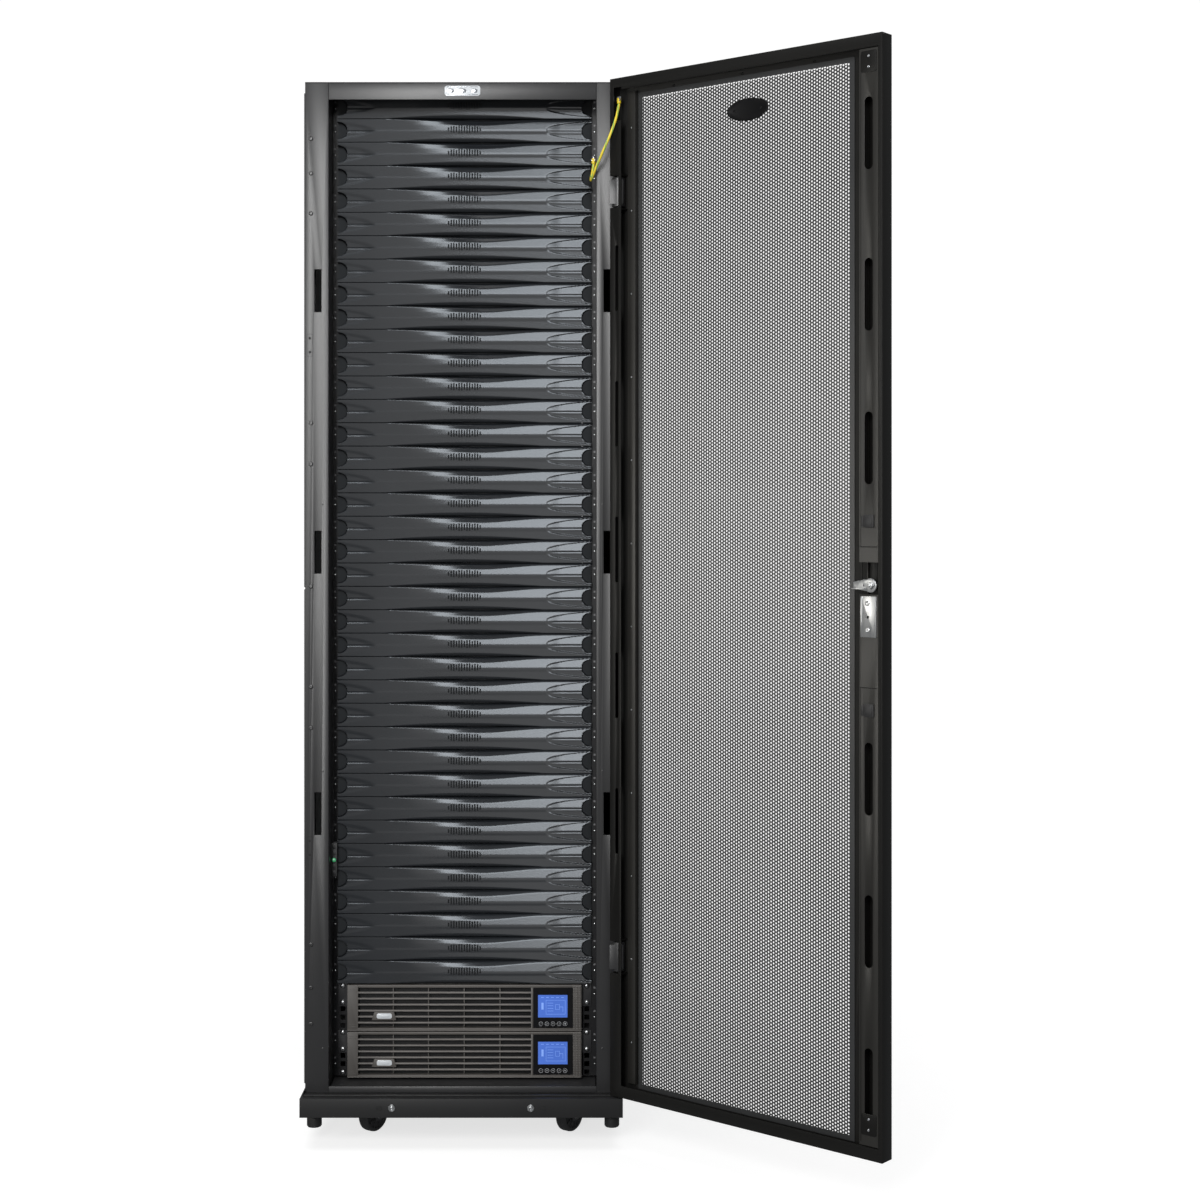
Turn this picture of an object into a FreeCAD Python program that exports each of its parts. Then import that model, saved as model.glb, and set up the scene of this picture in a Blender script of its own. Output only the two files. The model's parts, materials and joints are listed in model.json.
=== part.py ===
"""Rack cabinet on castors that holds two 2U rack mount uninterruptible power supplies and 38 blanking panels.

Millimetres, +X to the right, +Y into the depth, +Z up. The origin is on the floor under the centre of the
footprint. The perforated front door stands open; every door is modelled closed, about its own hinge axis, and
then turned by its Placement.
"""

import FreeCAD, Part

import math
import os
import re

import Sketcher

DIMENSIONS = {
    # plinth, the widest and deepest part of the cabinet
    "plinth_width": 600,
    "plinth_depth": 1092,
    "plinth_low": 62,
    "plinth_high": 97,
    "plinth_wall": 2,
    "cable_port_width": 380,
    "cable_port_depth": 240,
    "cable_port_centre": 180,
    "anchor_radius": 6.75,
    "anchor_across": 225,
    "anchor_along": 330,
    "pad_low": 89,
    "pad_half": 50,
    # welded frame
    "frame_width": 590,
    "frame_depth": 1016,
    "roof_low": 1989,
    "roof_high": 1991,
    "header_low": 1958,
    "lip_high": 109,
    "post_face": 44,
    "post_depth": 60,
    "post_wall": 2,
    "post_lip": 12,
    "post_slot_length": 80,
    "post_slot_width": 13,
    "post_slot_low": 620,
    "post_slot_step": 490,
    "post_slot_across": 271,
    "brace_low": 150,
    "brace_middle": 1000,
    "brace_upper": 1870,
    "brace_height": 40,
    "brace_width": 38,
    "carrier_lap": 14,
    "carrier_sheet": 1.8,
    "carrier_rise": 30,
    "floor_low": 104,
    "floor_high": 106,
    "floor_half": 249,
    "eyebolt_radius": 6.25,
    "eyebolt_across": 262,
    "eyebolt_along": 470,
    "brush_length": 300,
    "brush_width": 90,
    "brush_rim": 10,
    "brush_along": 250,
    "brush_drop": 6,
    "bristle_drop": 3,
    "bristle_rise": 1,
    # side panels
    "side_inner": 295.2,
    "side_outer": 298.2,
    "side_sheet": 1.2,
    "side_low": 112,
    "side_split": 1042,
    "side_gap": 2,
    "side_high": 1972,
    "side_half": 498,
    "latch_radius": 11,
    "latch_outer": 300,
    "latch_along": 360,
    "latch_drop": 60,
    # 19 inch rack space
    "unit_pitch": 44.45,
    "unit_count": 42,
    "rack_low": 110,
    "panel_width": 482.6,
    "rail_front": -440,
    "rail_face": 26,
    "rail_depth": 60,
    "rail_sheet": 2,
    "rail_outer": 251,
    "rail_hole": 9.5,
    "rail_hole_across": 232.55,
    "rail_hole_first": 6.35,
    "rail_hole_second": 22.225,
    "rail_hole_third": 38.1,
    # blanking panels
    "blank_count": 38,
    "blank_height": 43.9,
    "blank_depth": 15,
    "blank_ear": 18.8,
    "blank_ear_sheet": 2,
    "blank_end": 6,
    "blank_shoulder": 90,
    "blank_shoulder_back": 1.5,
    "blank_wall": 3.2,
    "blank_hollow": 9,
    # uninterruptible power supplies, 2U each
    "ups_height": 86.6,
    "ups_lift": 0.4,
    "ear_height": 43.5,
    "ups_half": 222.5,
    "ups_sheet": 1.2,
    "ups_rear": 235,
    "bezel_front": -456,
    "bezel_back": -442.5,
    "grille_left": -202,
    "grille_right": 127,
    "grille_margin": 5,
    "grille_bar": 3.4,
    "grille_bars": 6,
    "display_left": 131,
    "display_right": 206,
    "display_front": -457.5,
    "display_back": -444,
    "display_low": 6.4,
    "display_high": 81.5,
    "button_radius": 4.3,
    "button_bore": 4.6,
    "button_first": 145.5,
    "button_step": 11.5,
    "button_height": 14,
    "button_front": -459.3,
    "button_back": -449,
    "button_bore_end": -446.5,
    "battery_half": 205,
    "battery_front": -425,
    "battery_back": -215,
    "battery_low": 3,
    "battery_high": 80,
    "socket_width": 28,
    "socket_height": 24,
    "socket_depth": 9,
    "socket_step": 34,
    "socket_first": -190,
    "socket_line_low": 18,
    "socket_line_high": 50,
    "inlet_left": 110,
    "inlet_right": 150,
    "inlet_low": 30,
    "inlet_high": 60,
    "strip_left": 165,
    "strip_right": 212,
    "strip_low": 10,
    "strip_high": 76,
    # castors and levelling feet
    "castor_across": 188,
    "castor_along": 440,
    "castor_turn": 55,
    "castor_trail": 20,
    "wheel_radius": 32,
    "wheel_width": 22,
    "wheel_round": 5,
    "axle_radius": 4,
    "stem_radius": 6,
    "running_fit": 0.05,
    "fork_sheet": 3,
    "fork_side": 1,
    "fork_leg_half": 9,
    "axle_head": 2,
    "fork_disc": 26,
    "fork_low": 22,
    "fork_deck": 72,
    "fork_high": 88.5,
    "stem_top": 94.5,
    "foot_across": 280,
    "foot_along": 490,
    "foot_low": 29,
    "foot_high": 49,
    "foot_radius": 14,
    "foot_stem": 6,
    "foot_stem_top": 140,
    "foot_block": 18,
    "foot_block_low": 70,
    # doors: x from the hinge axis, y from the outer skin to the inner lip
    "hinge_across": 292,
    "hinge_along": 526,
    "door_open": 140,
    "door_low": 100,
    "door_high": 1991,
    "door_hinge_end": 8,
    "door_free_end": 582,
    "door_half": 15,
    "door_sheet": 1.5,
    "window_near": 46,
    "window_far": 502,
    "window_low": 123,
    "window_high": 1956,
    "mesh_overlap": 8,
    "mesh_sheet": 1,
    "channel_near": 537,
    "channel_far": 574,
    "hinge_lip": 26,
    "free_lip": 8,
    "hinge_step": 36,
    "hinge_step_top": -5,
    "panel_gap": 0.3,
    "end_lip": 22,
    "door_slot_length": 122,
    "door_slot_width": 16,
    "hinge_slot_width": 7,
    "hinge_slot_across": 8,
    "terminal_low": 1912,
    "terminal_high": 1974,
    "terminal_stud": 1952,
    "terminal_stud_reach": 8,
    "terminal_boot_low": 1944.7,
    "terminal_boot_high": 1958,
    "terminal_boot_y": 8,
    "hinge_upper": 1781,
    "hinge_lower": 358,
    "hinge_notch": 30,
    "hinge_notch_depth": 12,
    "hinge_tab": 3,
    "knuckle_radius": 9,
    "knuckle_half": 25,
    "hinge_arm_half": 5,
    "pin_radius": 4,
    "pin_half": 34,
    "rear_door_free": 290,
    "rear_window_margin": 45,
    "rear_lever_left": -30,
    "rear_lever_right": -12,
    "rear_lever_low": 960,
    "rear_lever_high": 1110,
    "rear_lever_gap": 6,
    "rear_lever_depth": 10,
    "rear_boss_x": -21,
    "rear_boss_z": 1090,
    "rear_boss_radius": 6,
    "rear_boss_gap": 0.4,
    # swing handle and cam of the front door
    "lock_x": -556,
    "lock_z": 1065,
    "lock_radius": 5,
    "lock_plate_low": 978,
    "lock_plate_high": 1047,
    "lock_plate_half": 15,
    "lock_plate_sheet": 2,
    "dish_low": 900,
    "dish_high": 1095,
    "dish_half": 18,
    "dish_front": -19,
    "lever_low": 915,
    "lever_high": 1083,
    "lever_half": 12,
    "lever_front": -33,
    "lever_back": -20,
    "cam_length": 34,
    "cam_half": 7,
    "cam_back": 8,
    "cam_front": 12,
    "cam_hub": 13,
    "cam_window_low": 1050,
    "cam_window_high": 1104,
    # small pieces
    "wire_radius": 2.5,
    "stud_radius": 3,
    "boot_radius": 4,
    "ground_stud_y": -474,
    "ground_stud_z": 1850,
    "ground_stud_reach": 5.5,
    "ground_boot_low": 1843.3,
    "ground_boot_high": 1855,
    "post_screw_radius": 3.5,
    "post_screw_across": 284,
    "post_screw_head": 1.5,
    "plinth_screw_radius": 6.5,
    "plinth_screw_height": 80,
    "rack_screw_radius": 5,
    "rack_screw_head": 3,
    "badge_half": 33.5,
    "badge_low": 1965,
    "badge_high": 1984,
    "badge_sheet": 1.5,
    "oval_x": -287,
    "oval_z": 1902,
    "oval_long": 45,
    "oval_short": 20,
    "level_low": 495,
    "level_high": 559,
    "level_across": 245.5,
    "level_half": 5.4,
    "level_front": 38,
    "level_back": 56,
    "vial_radius": 4.5,
    "vial_front": 35,
}

# Heights of the front post screws, and of the middles of the slots at the two long edges of the front door
POST_SCREW_HEIGHTS = (1885, 1820, 1745, 1352, 1275, 1046, 858, 781, 375, 294, 226)
LATCH_SLOT_HEIGHTS = (1825, 1554, 1296, 740, 484, 227)
HINGE_SLOT_HEIGHTS = (1620, 1368, 1116, 864, 612)

# Distances of the plinth screws from the middle, and the counts of what repeats
PLINTH_SCREW_PLACES = (130, 152)
POST_SLOTS = 3
BUTTONS = 5
SOCKET_COLUMNS = 8
RACK_SCREW_UNITS = (1, 3)

# Ground wire, from the terminal on the door to the stud on the post, with the door standing open
WIRE_ROUTE = (
    (293.0, -537.3, 1944.0),
    (290.4, -540.3, 1928.0),
    (285.9, -545.7, 1911.0),
    (279.0, -548.5, 1891.0),
    (270.5, -546.5, 1871.0),
    (261.5, -540.0, 1852.0),
    (253.0, -529.5, 1834.0),
    (246.0, -516.5, 1818.5),
    (241.5, -502.5, 1809.0),
    (240.0, -489.0, 1809.5),
    (241.5, -478.5, 1819.0),
    (244.5, -474.0, 1832.0),
    (245.5, -474.0, 1843.0),
)
ARC_SHARE = 0.45

doc = FreeCAD.newDocument("ups_rack_cabinet")
sheet = doc.addObject("Spreadsheet::Sheet", "dims")
for row, (alias, number) in enumerate(DIMENSIONS.items(), start=1):
    sheet.set(f"A{row}", alias)
    sheet.set(f"B{row}", str(number))
    sheet.setAlias(f"B{row}", alias)
doc.recompute()

POSITION = {"x": "Placement.Base.x", "y": "Placement.Base.y", "z": "Placement.Base.z"}
nodes = []


def named(word):
    """The sheet's name for a matched alias; any other word stays as it is."""
    return f"dims.{word.group()}" if word.group() in DIMENSIONS else word.group()


def formula(text):
    """An expression in which each bare alias is read from the sheet."""
    return re.sub(r"[a-z_]+", named, str(text))


def value(text):
    """The number that an expression gives now."""
    return float(sheet.evalExpression(formula(text)))


def bind(item, **sizes):
    """Bind properties of an object to expressions."""
    for name, text in sizes.items():
        item.setExpression(POSITION.get(name, name), formula(text))
    return item


def box(x0, x1, y0, y1, z0, z1, name="block"):
    """A box between two corners."""
    item = doc.addObject("Part::Box", name)
    bind(item, Length=f"({x1}) - ({x0})", Width=f"({y1}) - ({y0})", Height=f"({z1}) - ({z0})")
    return bind(item, x=x0, y=y0, z=z0)


TURNS = {
    "X": FreeCAD.Rotation(FreeCAD.Vector(0, 1, 0), 90),
    "Y": FreeCAD.Rotation(FreeCAD.Vector(1, 0, 0), -90),
    "Z": FreeCAD.Rotation(),
}


def rod(radius, x, y, z, length, axis="Z", name="rod"):
    """A cylinder that starts at a point and runs along +axis."""
    item = doc.addObject("Part::Cylinder", name)
    item.Placement = FreeCAD.Placement(FreeCAD.Vector(), TURNS[axis])
    return bind(item, Radius=radius, Height=length, x=x, y=y, z=z)


def bundle(members, name="bundle"):
    """Several solids as one object."""
    item = doc.addObject("Part::Compound", name)
    item.Links = members
    return item


def fuse(members, name="fused"):
    """One solid from several."""
    item = doc.addObject("Part::MultiFuse", name)
    item.Shapes = members
    return item


def cut(base, tools, name="cut"):
    """A solid less a list of tools."""
    item = doc.addObject("Part::Cut", name)
    item.Base = base
    item.Tool = tools[0] if len(tools) == 1 else bundle(tools, "tools")
    return item


def mirror(source, normal, name="mirrored"):
    """A mirror image in a plane through the origin."""
    item = doc.addObject("Part::Mirroring", name)
    item.Source = source
    item.Normal = normal
    return item


ACROSS = FreeCAD.Vector(1, 0, 0)
ALONG = FreeCAD.Vector(0, 1, 0)


def both_sides(source):
    """A solid and its mirror image across the width."""
    return [source, mirror(source, ACROSS)]


def all_corners(source):
    """A solid and its images in the other three corners."""
    pair = both_sides(source)
    return pair + [mirror(one, ALONG) for one in pair]


def slot(x, z, length, width, y0, y1):
    """A tool for an upright slot with round ends, cut along Y."""
    reach = f"({y1}) - ({y0})"
    half = f"({length}) / 2 - ({width}) / 2"
    ends = [rod(f"({width}) / 2", x, y0, f"({z}) {sign} ({half})", reach, "Y") for sign in "+-"]
    middle = box(f"({x}) - ({width}) / 2", f"({x}) + ({width}) / 2", y0, y1,
                 f"({z}) - ({half})", f"({z}) + ({half})")
    return fuse(ends + [middle], "slot")


def tray(x0, x1, y0, y1, z0, z1, wall, name="tray"):
    """A box open below, with a wall all round and on top."""
    hollow = box(f"({x0}) + {wall}", f"({x1}) - {wall}", f"({y0}) + {wall}", f"({y1}) - {wall}",
                 f"({z0}) - 1", f"({z1}) - {wall}")
    return cut(box(x0, x1, y0, y1, z0, z1), [hollow], name)


def node(label, members, placement=None):
    """Name a sub-part, which also names its file."""
    item = bundle(members, label)
    item.Label = label
    if placement is not None:
        item.Placement = placement
    nodes.append(item)
    return item


def plane(body, role):
    """An origin plane or axis of a body."""
    return next(item for item in body.Origin.OriginFeatures if item.Role == role)


def outline(body, role, points, name="outline"):
    """A closed sketch through points given as pairs of expressions, each bound to the sheet."""
    sketch = body.newObject("Sketcher::SketchObject", name)
    sketch.AttachmentSupport = (plane(body, role), "")
    sketch.MapMode = "FlatFace"
    places = [FreeCAD.Vector(value(x), value(y), 0) for x, y in points]
    count = len(points)
    for index in range(count):
        sketch.addGeometry(Part.LineSegment(places[index], places[(index + 1) % count]), False)
    for index in range(count):
        sketch.addConstraint(Sketcher.Constraint("Coincident", index, 2, (index + 1) % count, 1))
    for index, point in enumerate(points):
        for kind, axis, text in (("DistanceX", -2, point[0]), ("DistanceY", -1, point[1])):
            if str(text) == "0":
                sketch.addConstraint(Sketcher.Constraint("PointOnObject", index, 1, axis))
                continue
            made = sketch.addConstraint(Sketcher.Constraint(kind, index, 1, value(text)))
            sketch.setExpression(f"Constraints[{made}]", formula(text))
    return sketch


def padded(points, height, name):
    """A body padded up from an outline in its XY plane."""
    body = doc.addObject("PartDesign::Body", name)
    profile = outline(body, "XY_Plane", points)
    pad = body.newObject("PartDesign::Pad", "pad")
    pad.Profile = profile
    bind(pad, Length=height)
    return body


def revolved(points, name):
    """A body turned about its Z axis from an outline in its XZ plane."""
    body = doc.addObject("PartDesign::Body", name)
    profile = outline(body, "XZ_Plane", points)
    turned = body.newObject("PartDesign::Revolution", "turned")
    turned.Profile = profile
    turned.ReferenceAxis = (profile, ["V_Axis"])
    turned.Angle = 360
    return body


def repeat_up(body, feature, pitch, count):
    """Repeat a feature of a body up its Z axis."""
    pattern = body.newObject("PartDesign::LinearPattern", "repeat")
    pattern.Originals = [feature]
    pattern.Direction = (plane(body, "Z_Axis"), [""])
    bind(pattern, Length=f"{pitch} * ({count} - 1)", Occurrences=count)
    body.Tip = pattern


def base_plinth():
    """Folded steel tray with castor pads, foot blocks, anchor holes and a cable port."""
    shell = tray("-plinth_width / 2", "plinth_width / 2", "-plinth_depth / 2", "plinth_depth / 2",
                 "plinth_low", "plinth_high", "plinth_wall")
    below = "plinth_high - plinth_wall"
    solids = [shell]
    tools = [cable_port("plinth_low", "plinth_high + 1")]
    for side in (-1, 1):
        for end in (-1, 1):
            x = f"{side} * castor_across"
            y = f"{end} * castor_along"
            solids.append(box(f"{x} - pad_half", f"{x} + pad_half", f"{y} - pad_half", f"{y} + pad_half",
                              "pad_low", below))
            tools.append(rod("stem_radius + running_fit", x, y, "pad_low - 1", f"{below} - pad_low + 1.5"))
            x = f"{side} * foot_across"
            y = f"{end} * foot_along"
            solids.append(box(f"{x} - foot_block", f"{x} + foot_block", f"{y} - foot_block",
                              f"{y} + foot_block", "foot_block_low", below))
            tools.append(rod("foot_stem + running_fit", x, y, "foot_block_low - 1",
                             "plinth_high - foot_block_low + 2"))
            tools.append(rod("anchor_radius", f"{side} * anchor_across", f"{end} * anchor_along",
                             "plinth_low", "plinth_high - plinth_low + 1"))
    node("base_plinth", [cut(fuse(solids), tools)])


def cable_port(z0, z1):
    """A tool for the cable port in the floor."""
    return box("-cable_port_width / 2", "cable_port_width / 2", "cable_port_centre - cable_port_depth / 2",
               "cable_port_centre + cable_port_depth / 2", z0, z1)


def corner_posts():
    """Four folded posts, each an open channel with lips and three long slots in its face."""
    points = (
        ("0", "0"),
        ("post_face", "0"),
        ("post_face", "post_depth"),
        ("post_face - post_lip", "post_depth"),
        ("post_face - post_lip", "post_depth - post_wall"),
        ("post_face - post_wall", "post_depth - post_wall"),
        ("post_face - post_wall", "post_wall"),
        ("post_wall", "post_wall"),
        ("post_wall", "post_depth - post_wall"),
        ("post_lip", "post_depth - post_wall"),
        ("post_lip", "post_depth"),
        ("0", "post_depth"),
    )
    post = padded(points, "roof_low - plinth_high", "post")
    bind(post, x="-frame_width / 2", y="-frame_depth / 2", z="plinth_high")
    half = "post_slot_width / 2"
    slots = []
    for step in range(POST_SLOTS):
        middle = f"(post_slot_low + {step} * post_slot_step)"
        slots.append(box(f"-post_slot_across - {half}", f"-post_slot_across + {half}", "-frame_depth / 2 - 1",
                         "-frame_depth / 2 + post_wall + 1", f"{middle} - post_slot_length / 2",
                         f"{middle} + post_slot_length / 2"))
    node("corner_posts", all_corners(cut(post, slots)))


def frame_members():
    """Header, sill and side members, rail braces and the angles that carry the power supplies."""
    inner = "frame_width / 2 - post_face"
    front = "-frame_depth / 2"
    header = cut(box(f"-({inner})", inner, front, f"{front} + brace_width", "header_low", "roof_low"),
                 [box(f"-({inner}) - 1", f"({inner}) + 1", f"{front} + post_wall",
                      f"{front} + brace_width + 1", "header_low - 1", "roof_low - post_wall")])
    sill = box(f"-({inner})", inner, front, f"{front} + post_wall", "plinth_high", "lip_high")
    ends = [header, sill, mirror(header, ALONG), mirror(sill, ALONG)]
    reach = "frame_depth / 2 - post_depth"
    sides = []
    heights = [("plinth_high", "lip_high"), ("header_low", "roof_low")]
    heights += [(low, f"{low} + brace_height") for low in ("brace_low", "brace_middle", "brace_upper")]
    for low, high in heights:
        outer = box("rail_outer", "rail_outer + brace_width", f"-({reach})", reach, low, high)
        hollow = box("rail_outer + post_wall", "rail_outer + brace_width + 1", f"-({reach}) - 1",
                     f"({reach}) + 1", f"({low}) + post_wall", f"({high}) - post_wall")
        sides += both_sides(cut(outer, [hollow]))
    carriers = []
    for unit in (0, 2):
        low = f"rack_low + {unit} * unit_pitch"
        carrier = cut(box("ups_half - carrier_lap", "rail_outer - rail_sheet", "rail_front + rail_sheet + 1",
                          "-rail_front - rail_sheet - 1", f"{low} - carrier_sheet", f"{low} + carrier_rise"),
                      [box("ups_half - carrier_lap - 1", "rail_outer - 2 * rail_sheet", "rail_front",
                           "-rail_front", f"{low}", f"{low} + carrier_rise + 1")])
        carriers += both_sides(carrier)
    node("frame_members", ends + sides + carriers)


def floor_and_roof():
    """Floor pan, roof panel and the brush strips of the roof."""
    floor = box("-floor_half", "floor_half", "-frame_depth / 2 + post_wall", "frame_depth / 2 - post_wall",
                "floor_low", "floor_high")
    node("floor_pan", [cut(floor, [cable_port("floor_low - 1", "floor_high + 1")])])
    half_x = "brush_length / 2"
    half_y = "brush_width / 2"
    ports = [box(f"-{half_x}", half_x, f"{end} * brush_along - {half_y}", f"{end} * brush_along + {half_y}",
                 "roof_low - 1", "roof_high + 1") for end in (-1, 1)]
    holes = [rod("eyebolt_radius", f"{side} * eyebolt_across", f"{end} * eyebolt_along", "roof_low - 1",
                 "roof_high - roof_low + 2") for side in (-1, 1) for end in (-1, 1)]
    roof = box("-frame_width / 2", "frame_width / 2", "-frame_depth / 2", "frame_depth / 2",
               "roof_low", "roof_high")
    node("roof_panel", [cut(roof, ports + holes)])
    strips = []
    for end in (-1, 1):
        y = f"{end} * brush_along"
        inside = (f"-{half_x} + brush_rim", f"{half_x} - brush_rim", f"{y} - {half_y} + brush_rim",
                  f"{y} + {half_y} - brush_rim")
        rim = cut(box(f"-{half_x}", half_x, f"{y} - {half_y}", f"{y} + {half_y}", "roof_low - brush_drop",
                      "roof_high"),
                  [box(*inside, "roof_low - brush_drop - 1", "roof_high + 1")])
        bristles = box(*inside, "roof_low - bristle_drop", "roof_low + bristle_rise")
        strips += [rim, bristles]
    node("roof_brushes", strips)


def side_panels():
    """Two lift-off panels on each side, with two turn latches on each."""
    panels = []
    latches = []
    for low, high in (("side_low", "side_split - side_gap"), ("side_split + side_gap", "side_high")):
        hollow = box("side_inner - 1", "side_outer - side_sheet", "-side_half + side_sheet",
                     "side_half - side_sheet", f"{low} + side_sheet", f"{high} - side_sheet")
        skin = box("side_inner", "side_outer", "-side_half", "side_half", low, high)
        panels += both_sides(cut(skin, [hollow]))
        for end in (-1, 1):
            latch = rod("latch_radius", "side_outer", f"{end} * latch_along", f"{high} - latch_drop",
                        "latch_outer - side_outer", "X")
            latches += both_sides(latch)
    node("side_panels", panels)
    node("side_panel_latches", latches)


def rack_rails():
    """Front and rear rails, angles with three square holes in each rack unit."""
    points = (
        ("0", "0"),
        ("rail_face", "0"),
        ("rail_face", "rail_sheet"),
        ("rail_sheet", "rail_sheet"),
        ("rail_sheet", "rail_depth"),
        ("0", "rail_depth"),
    )
    body = padded(points, "unit_pitch * unit_count", "rail")
    bind(body, x="-rail_outer", y="rail_front", z="rack_low")
    doc.recompute()
    sketch = body.newObject("Sketcher::SketchObject", "holes")
    sketch.AttachmentSupport = (plane(body, "XZ_Plane"), "")
    sketch.MapMode = "FlatFace"
    half = value("rail_hole / 2")
    middle = value("rail_outer - rail_hole_across")
    for name in ("rail_hole_first", "rail_hole_second", "rail_hole_third"):
        height = value(name)
        corners = [FreeCAD.Vector(middle + sx * half, height + sz * half, 0)
                   for sx, sz in ((-1, -1), (1, -1), (1, 1), (-1, 1))]
        for index in range(4):
            sketch.addGeometry(Part.LineSegment(corners[index], corners[(index + 1) % 4]), False)
    pocket = body.newObject("PartDesign::Pocket", "square_holes")
    pocket.Profile = sketch
    pocket.Midplane = True
    bind(pocket, Length="2 * rail_sheet + 2")
    doc.recompute()
    repeat_up(body, pocket, "unit_pitch", "unit_count")
    front = both_sides(body)
    node("front_rails", front)
    node("rear_rails", [mirror(one, ALONG) for one in front])


def blanking_panels():
    """Bowed 1U panels, hollow behind, from above the power supplies to the top of the rack space."""
    points = (
        ("0", "blank_depth"),
        ("0", "blank_depth - blank_ear_sheet"),
        ("blank_ear", "blank_depth - blank_ear_sheet"),
        ("blank_ear", "blank_end"),
        ("blank_shoulder", "blank_shoulder_back"),
        ("panel_width / 2", "0"),
        ("panel_width - blank_shoulder", "blank_shoulder_back"),
        ("panel_width - blank_ear", "blank_end"),
        ("panel_width - blank_ear", "blank_depth - blank_ear_sheet"),
        ("panel_width", "blank_depth - blank_ear_sheet"),
        ("panel_width", "blank_depth"),
        ("panel_width - blank_ear - blank_wall", "blank_depth"),
        ("panel_width - blank_ear - blank_wall", "blank_hollow"),
        ("blank_ear + blank_wall", "blank_hollow"),
        ("blank_ear + blank_wall", "blank_depth"),
    )
    body = padded(points, "blank_height", "blank")
    bind(body, x="-panel_width / 2", y="rail_front - blank_depth",
         z="rack_low + (unit_count - blank_count) * unit_pitch + (unit_pitch - blank_height) / 2")
    doc.recompute()
    repeat_up(body, body.Tip, "unit_pitch", "blank_count")
    node("blanking_panels", [body])


def power_supply(name, unit):
    """Steel chassis with ears, louvred bezel, display, buttons, battery pack and rear sockets."""
    low = f"(rack_low + {unit} * unit_pitch + ups_lift)"
    high = f"({low} + ups_height)"
    ears = box("-panel_width / 2", "panel_width / 2", "rail_front - rail_sheet", "rail_front",
               f"{high} - ear_height", high)
    case = box("-ups_half", "ups_half", "rail_front - rail_sheet", "ups_rear", low, high)
    hollow = box("-ups_half + ups_sheet", "ups_half - ups_sheet", "rail_front - rail_sheet - 1",
                 "ups_rear - ups_sheet", f"{low} + ups_sheet", f"{high} - ups_sheet")
    node(f"{name}_chassis", [cut(fuse([ears, case]), [hollow])])

    slots = []
    clear = "((ups_height - 2 * grille_margin - grille_bars * grille_bar) / (grille_bars + 1))"
    for step in range(int(value("grille_bars")) + 1):
        bottom = f"({low} + grille_margin + {step} * ({clear} + grille_bar))"
        slots.append(box("grille_left", "grille_right", "bezel_front - 1", "bezel_back + 1", bottom,
                         f"{bottom} + {clear}"))
    window = box("display_left", "display_right", "bezel_front - 1", "bezel_back + 1", f"{low} + display_low",
                 f"{low} + display_high")
    front = box("-ups_half", "ups_half", "bezel_front", "bezel_back", low, high)
    node(f"{name}_bezel", [cut(front, slots + [window])])

    bores = []
    for number in range(BUTTONS):
        x = f"button_first + {number} * button_step"
        bores.append(rod("button_bore", x, "display_front - 1", f"{low} + button_height",
                         "button_bore_end - display_front + 1", "Y"))
        plunger = rod("button_radius", x, "button_front", f"{low} + button_height",
                      "button_back - button_front", "Y")
        node(f"{name}_button_{number + 1}", [plunger])
    panel = box("display_left", "display_right", "display_front", "display_back", f"{low} + display_low",
                f"{low} + display_high")
    node(f"{name}_display", [cut(panel, bores)])

    node(f"{name}_battery_pack", [box("-battery_half", "battery_half", "battery_front", "battery_back",
                                      f"{low} + battery_low", f"{low} + battery_high")])
    sockets = []
    for column in range(SOCKET_COLUMNS):
        for line in ("socket_line_low", "socket_line_high"):
            x = f"socket_first + {column} * socket_step"
            sockets.append(box(x, f"{x} + socket_width", "ups_rear", "ups_rear + socket_depth",
                               f"{low} + {line}", f"{low} + {line} + socket_height"))
    inlet = box("inlet_left", "inlet_right", "ups_rear", "ups_rear + socket_depth",
                f"{low} + inlet_low", f"{low} + inlet_high")
    strip = box("strip_left", "strip_right", "ups_rear", "ups_rear + socket_depth",
                f"{low} + strip_low", f"{low} + strip_high")
    node(f"{name}_rear_sockets", sockets + [inlet, strip])


def castor(name, side, end):
    """Swivel fork with its stem and axle, and a wheel that trails behind the stem."""
    turn = FreeCAD.Rotation(FreeCAD.Vector(0, 0, 1), value("castor_turn"))
    centre = FreeCAD.Vector(side * value("castor_across"), end * value("castor_along"), 0)
    place = FreeCAD.Placement(centre, turn)
    inside = "wheel_width / 2 + fork_side"
    outside = f"({inside} + fork_sheet)"
    legs = [box("castor_trail - fork_leg_half", "castor_trail + fork_leg_half", low, high,
                "fork_low", "fork_high")
            for low, high in ((f"-{outside}", f"-({inside})"), (inside, outside))]
    deck = rod("fork_disc", "0", "0", "fork_deck", "fork_high - fork_deck")
    stem = rod("stem_radius", "0", "0", "fork_deck", "stem_top - fork_deck")
    axle = rod("axle_radius", "castor_trail", f"-{outside} - axle_head", "wheel_radius",
               f"2 * {outside} + 2 * axle_head", "Y")
    node(f"{name}_fork", [fuse(legs + [deck, stem, axle])], place)

    points = (
        ("axle_radius + running_fit", "0"),
        ("wheel_radius - wheel_round", "0"),
        ("wheel_radius", "wheel_round"),
        ("wheel_radius", "wheel_width - wheel_round"),
        ("wheel_radius - wheel_round", "wheel_width"),
        ("axle_radius + running_fit", "wheel_width"),
    )
    wheel = revolved(points, f"{name}_tread")
    wheel.Placement = FreeCAD.Placement(FreeCAD.Vector(), TURNS["Y"])
    bind(wheel, x="castor_trail", y="-wheel_width / 2", z="wheel_radius")
    node(f"{name}_wheel", [wheel], place)


def levelling_foot(name, side, end):
    """Screwed foot under a corner post, wound up clear of the floor."""
    x = f"{side} * foot_across"
    y = f"{end} * foot_along"
    pad = rod("foot_radius", x, y, "foot_low", "foot_high - foot_low")
    stem = rod("foot_stem", x, y, "foot_low", "foot_stem_top - foot_low")
    node(name, [fuse([pad, stem])])


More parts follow.
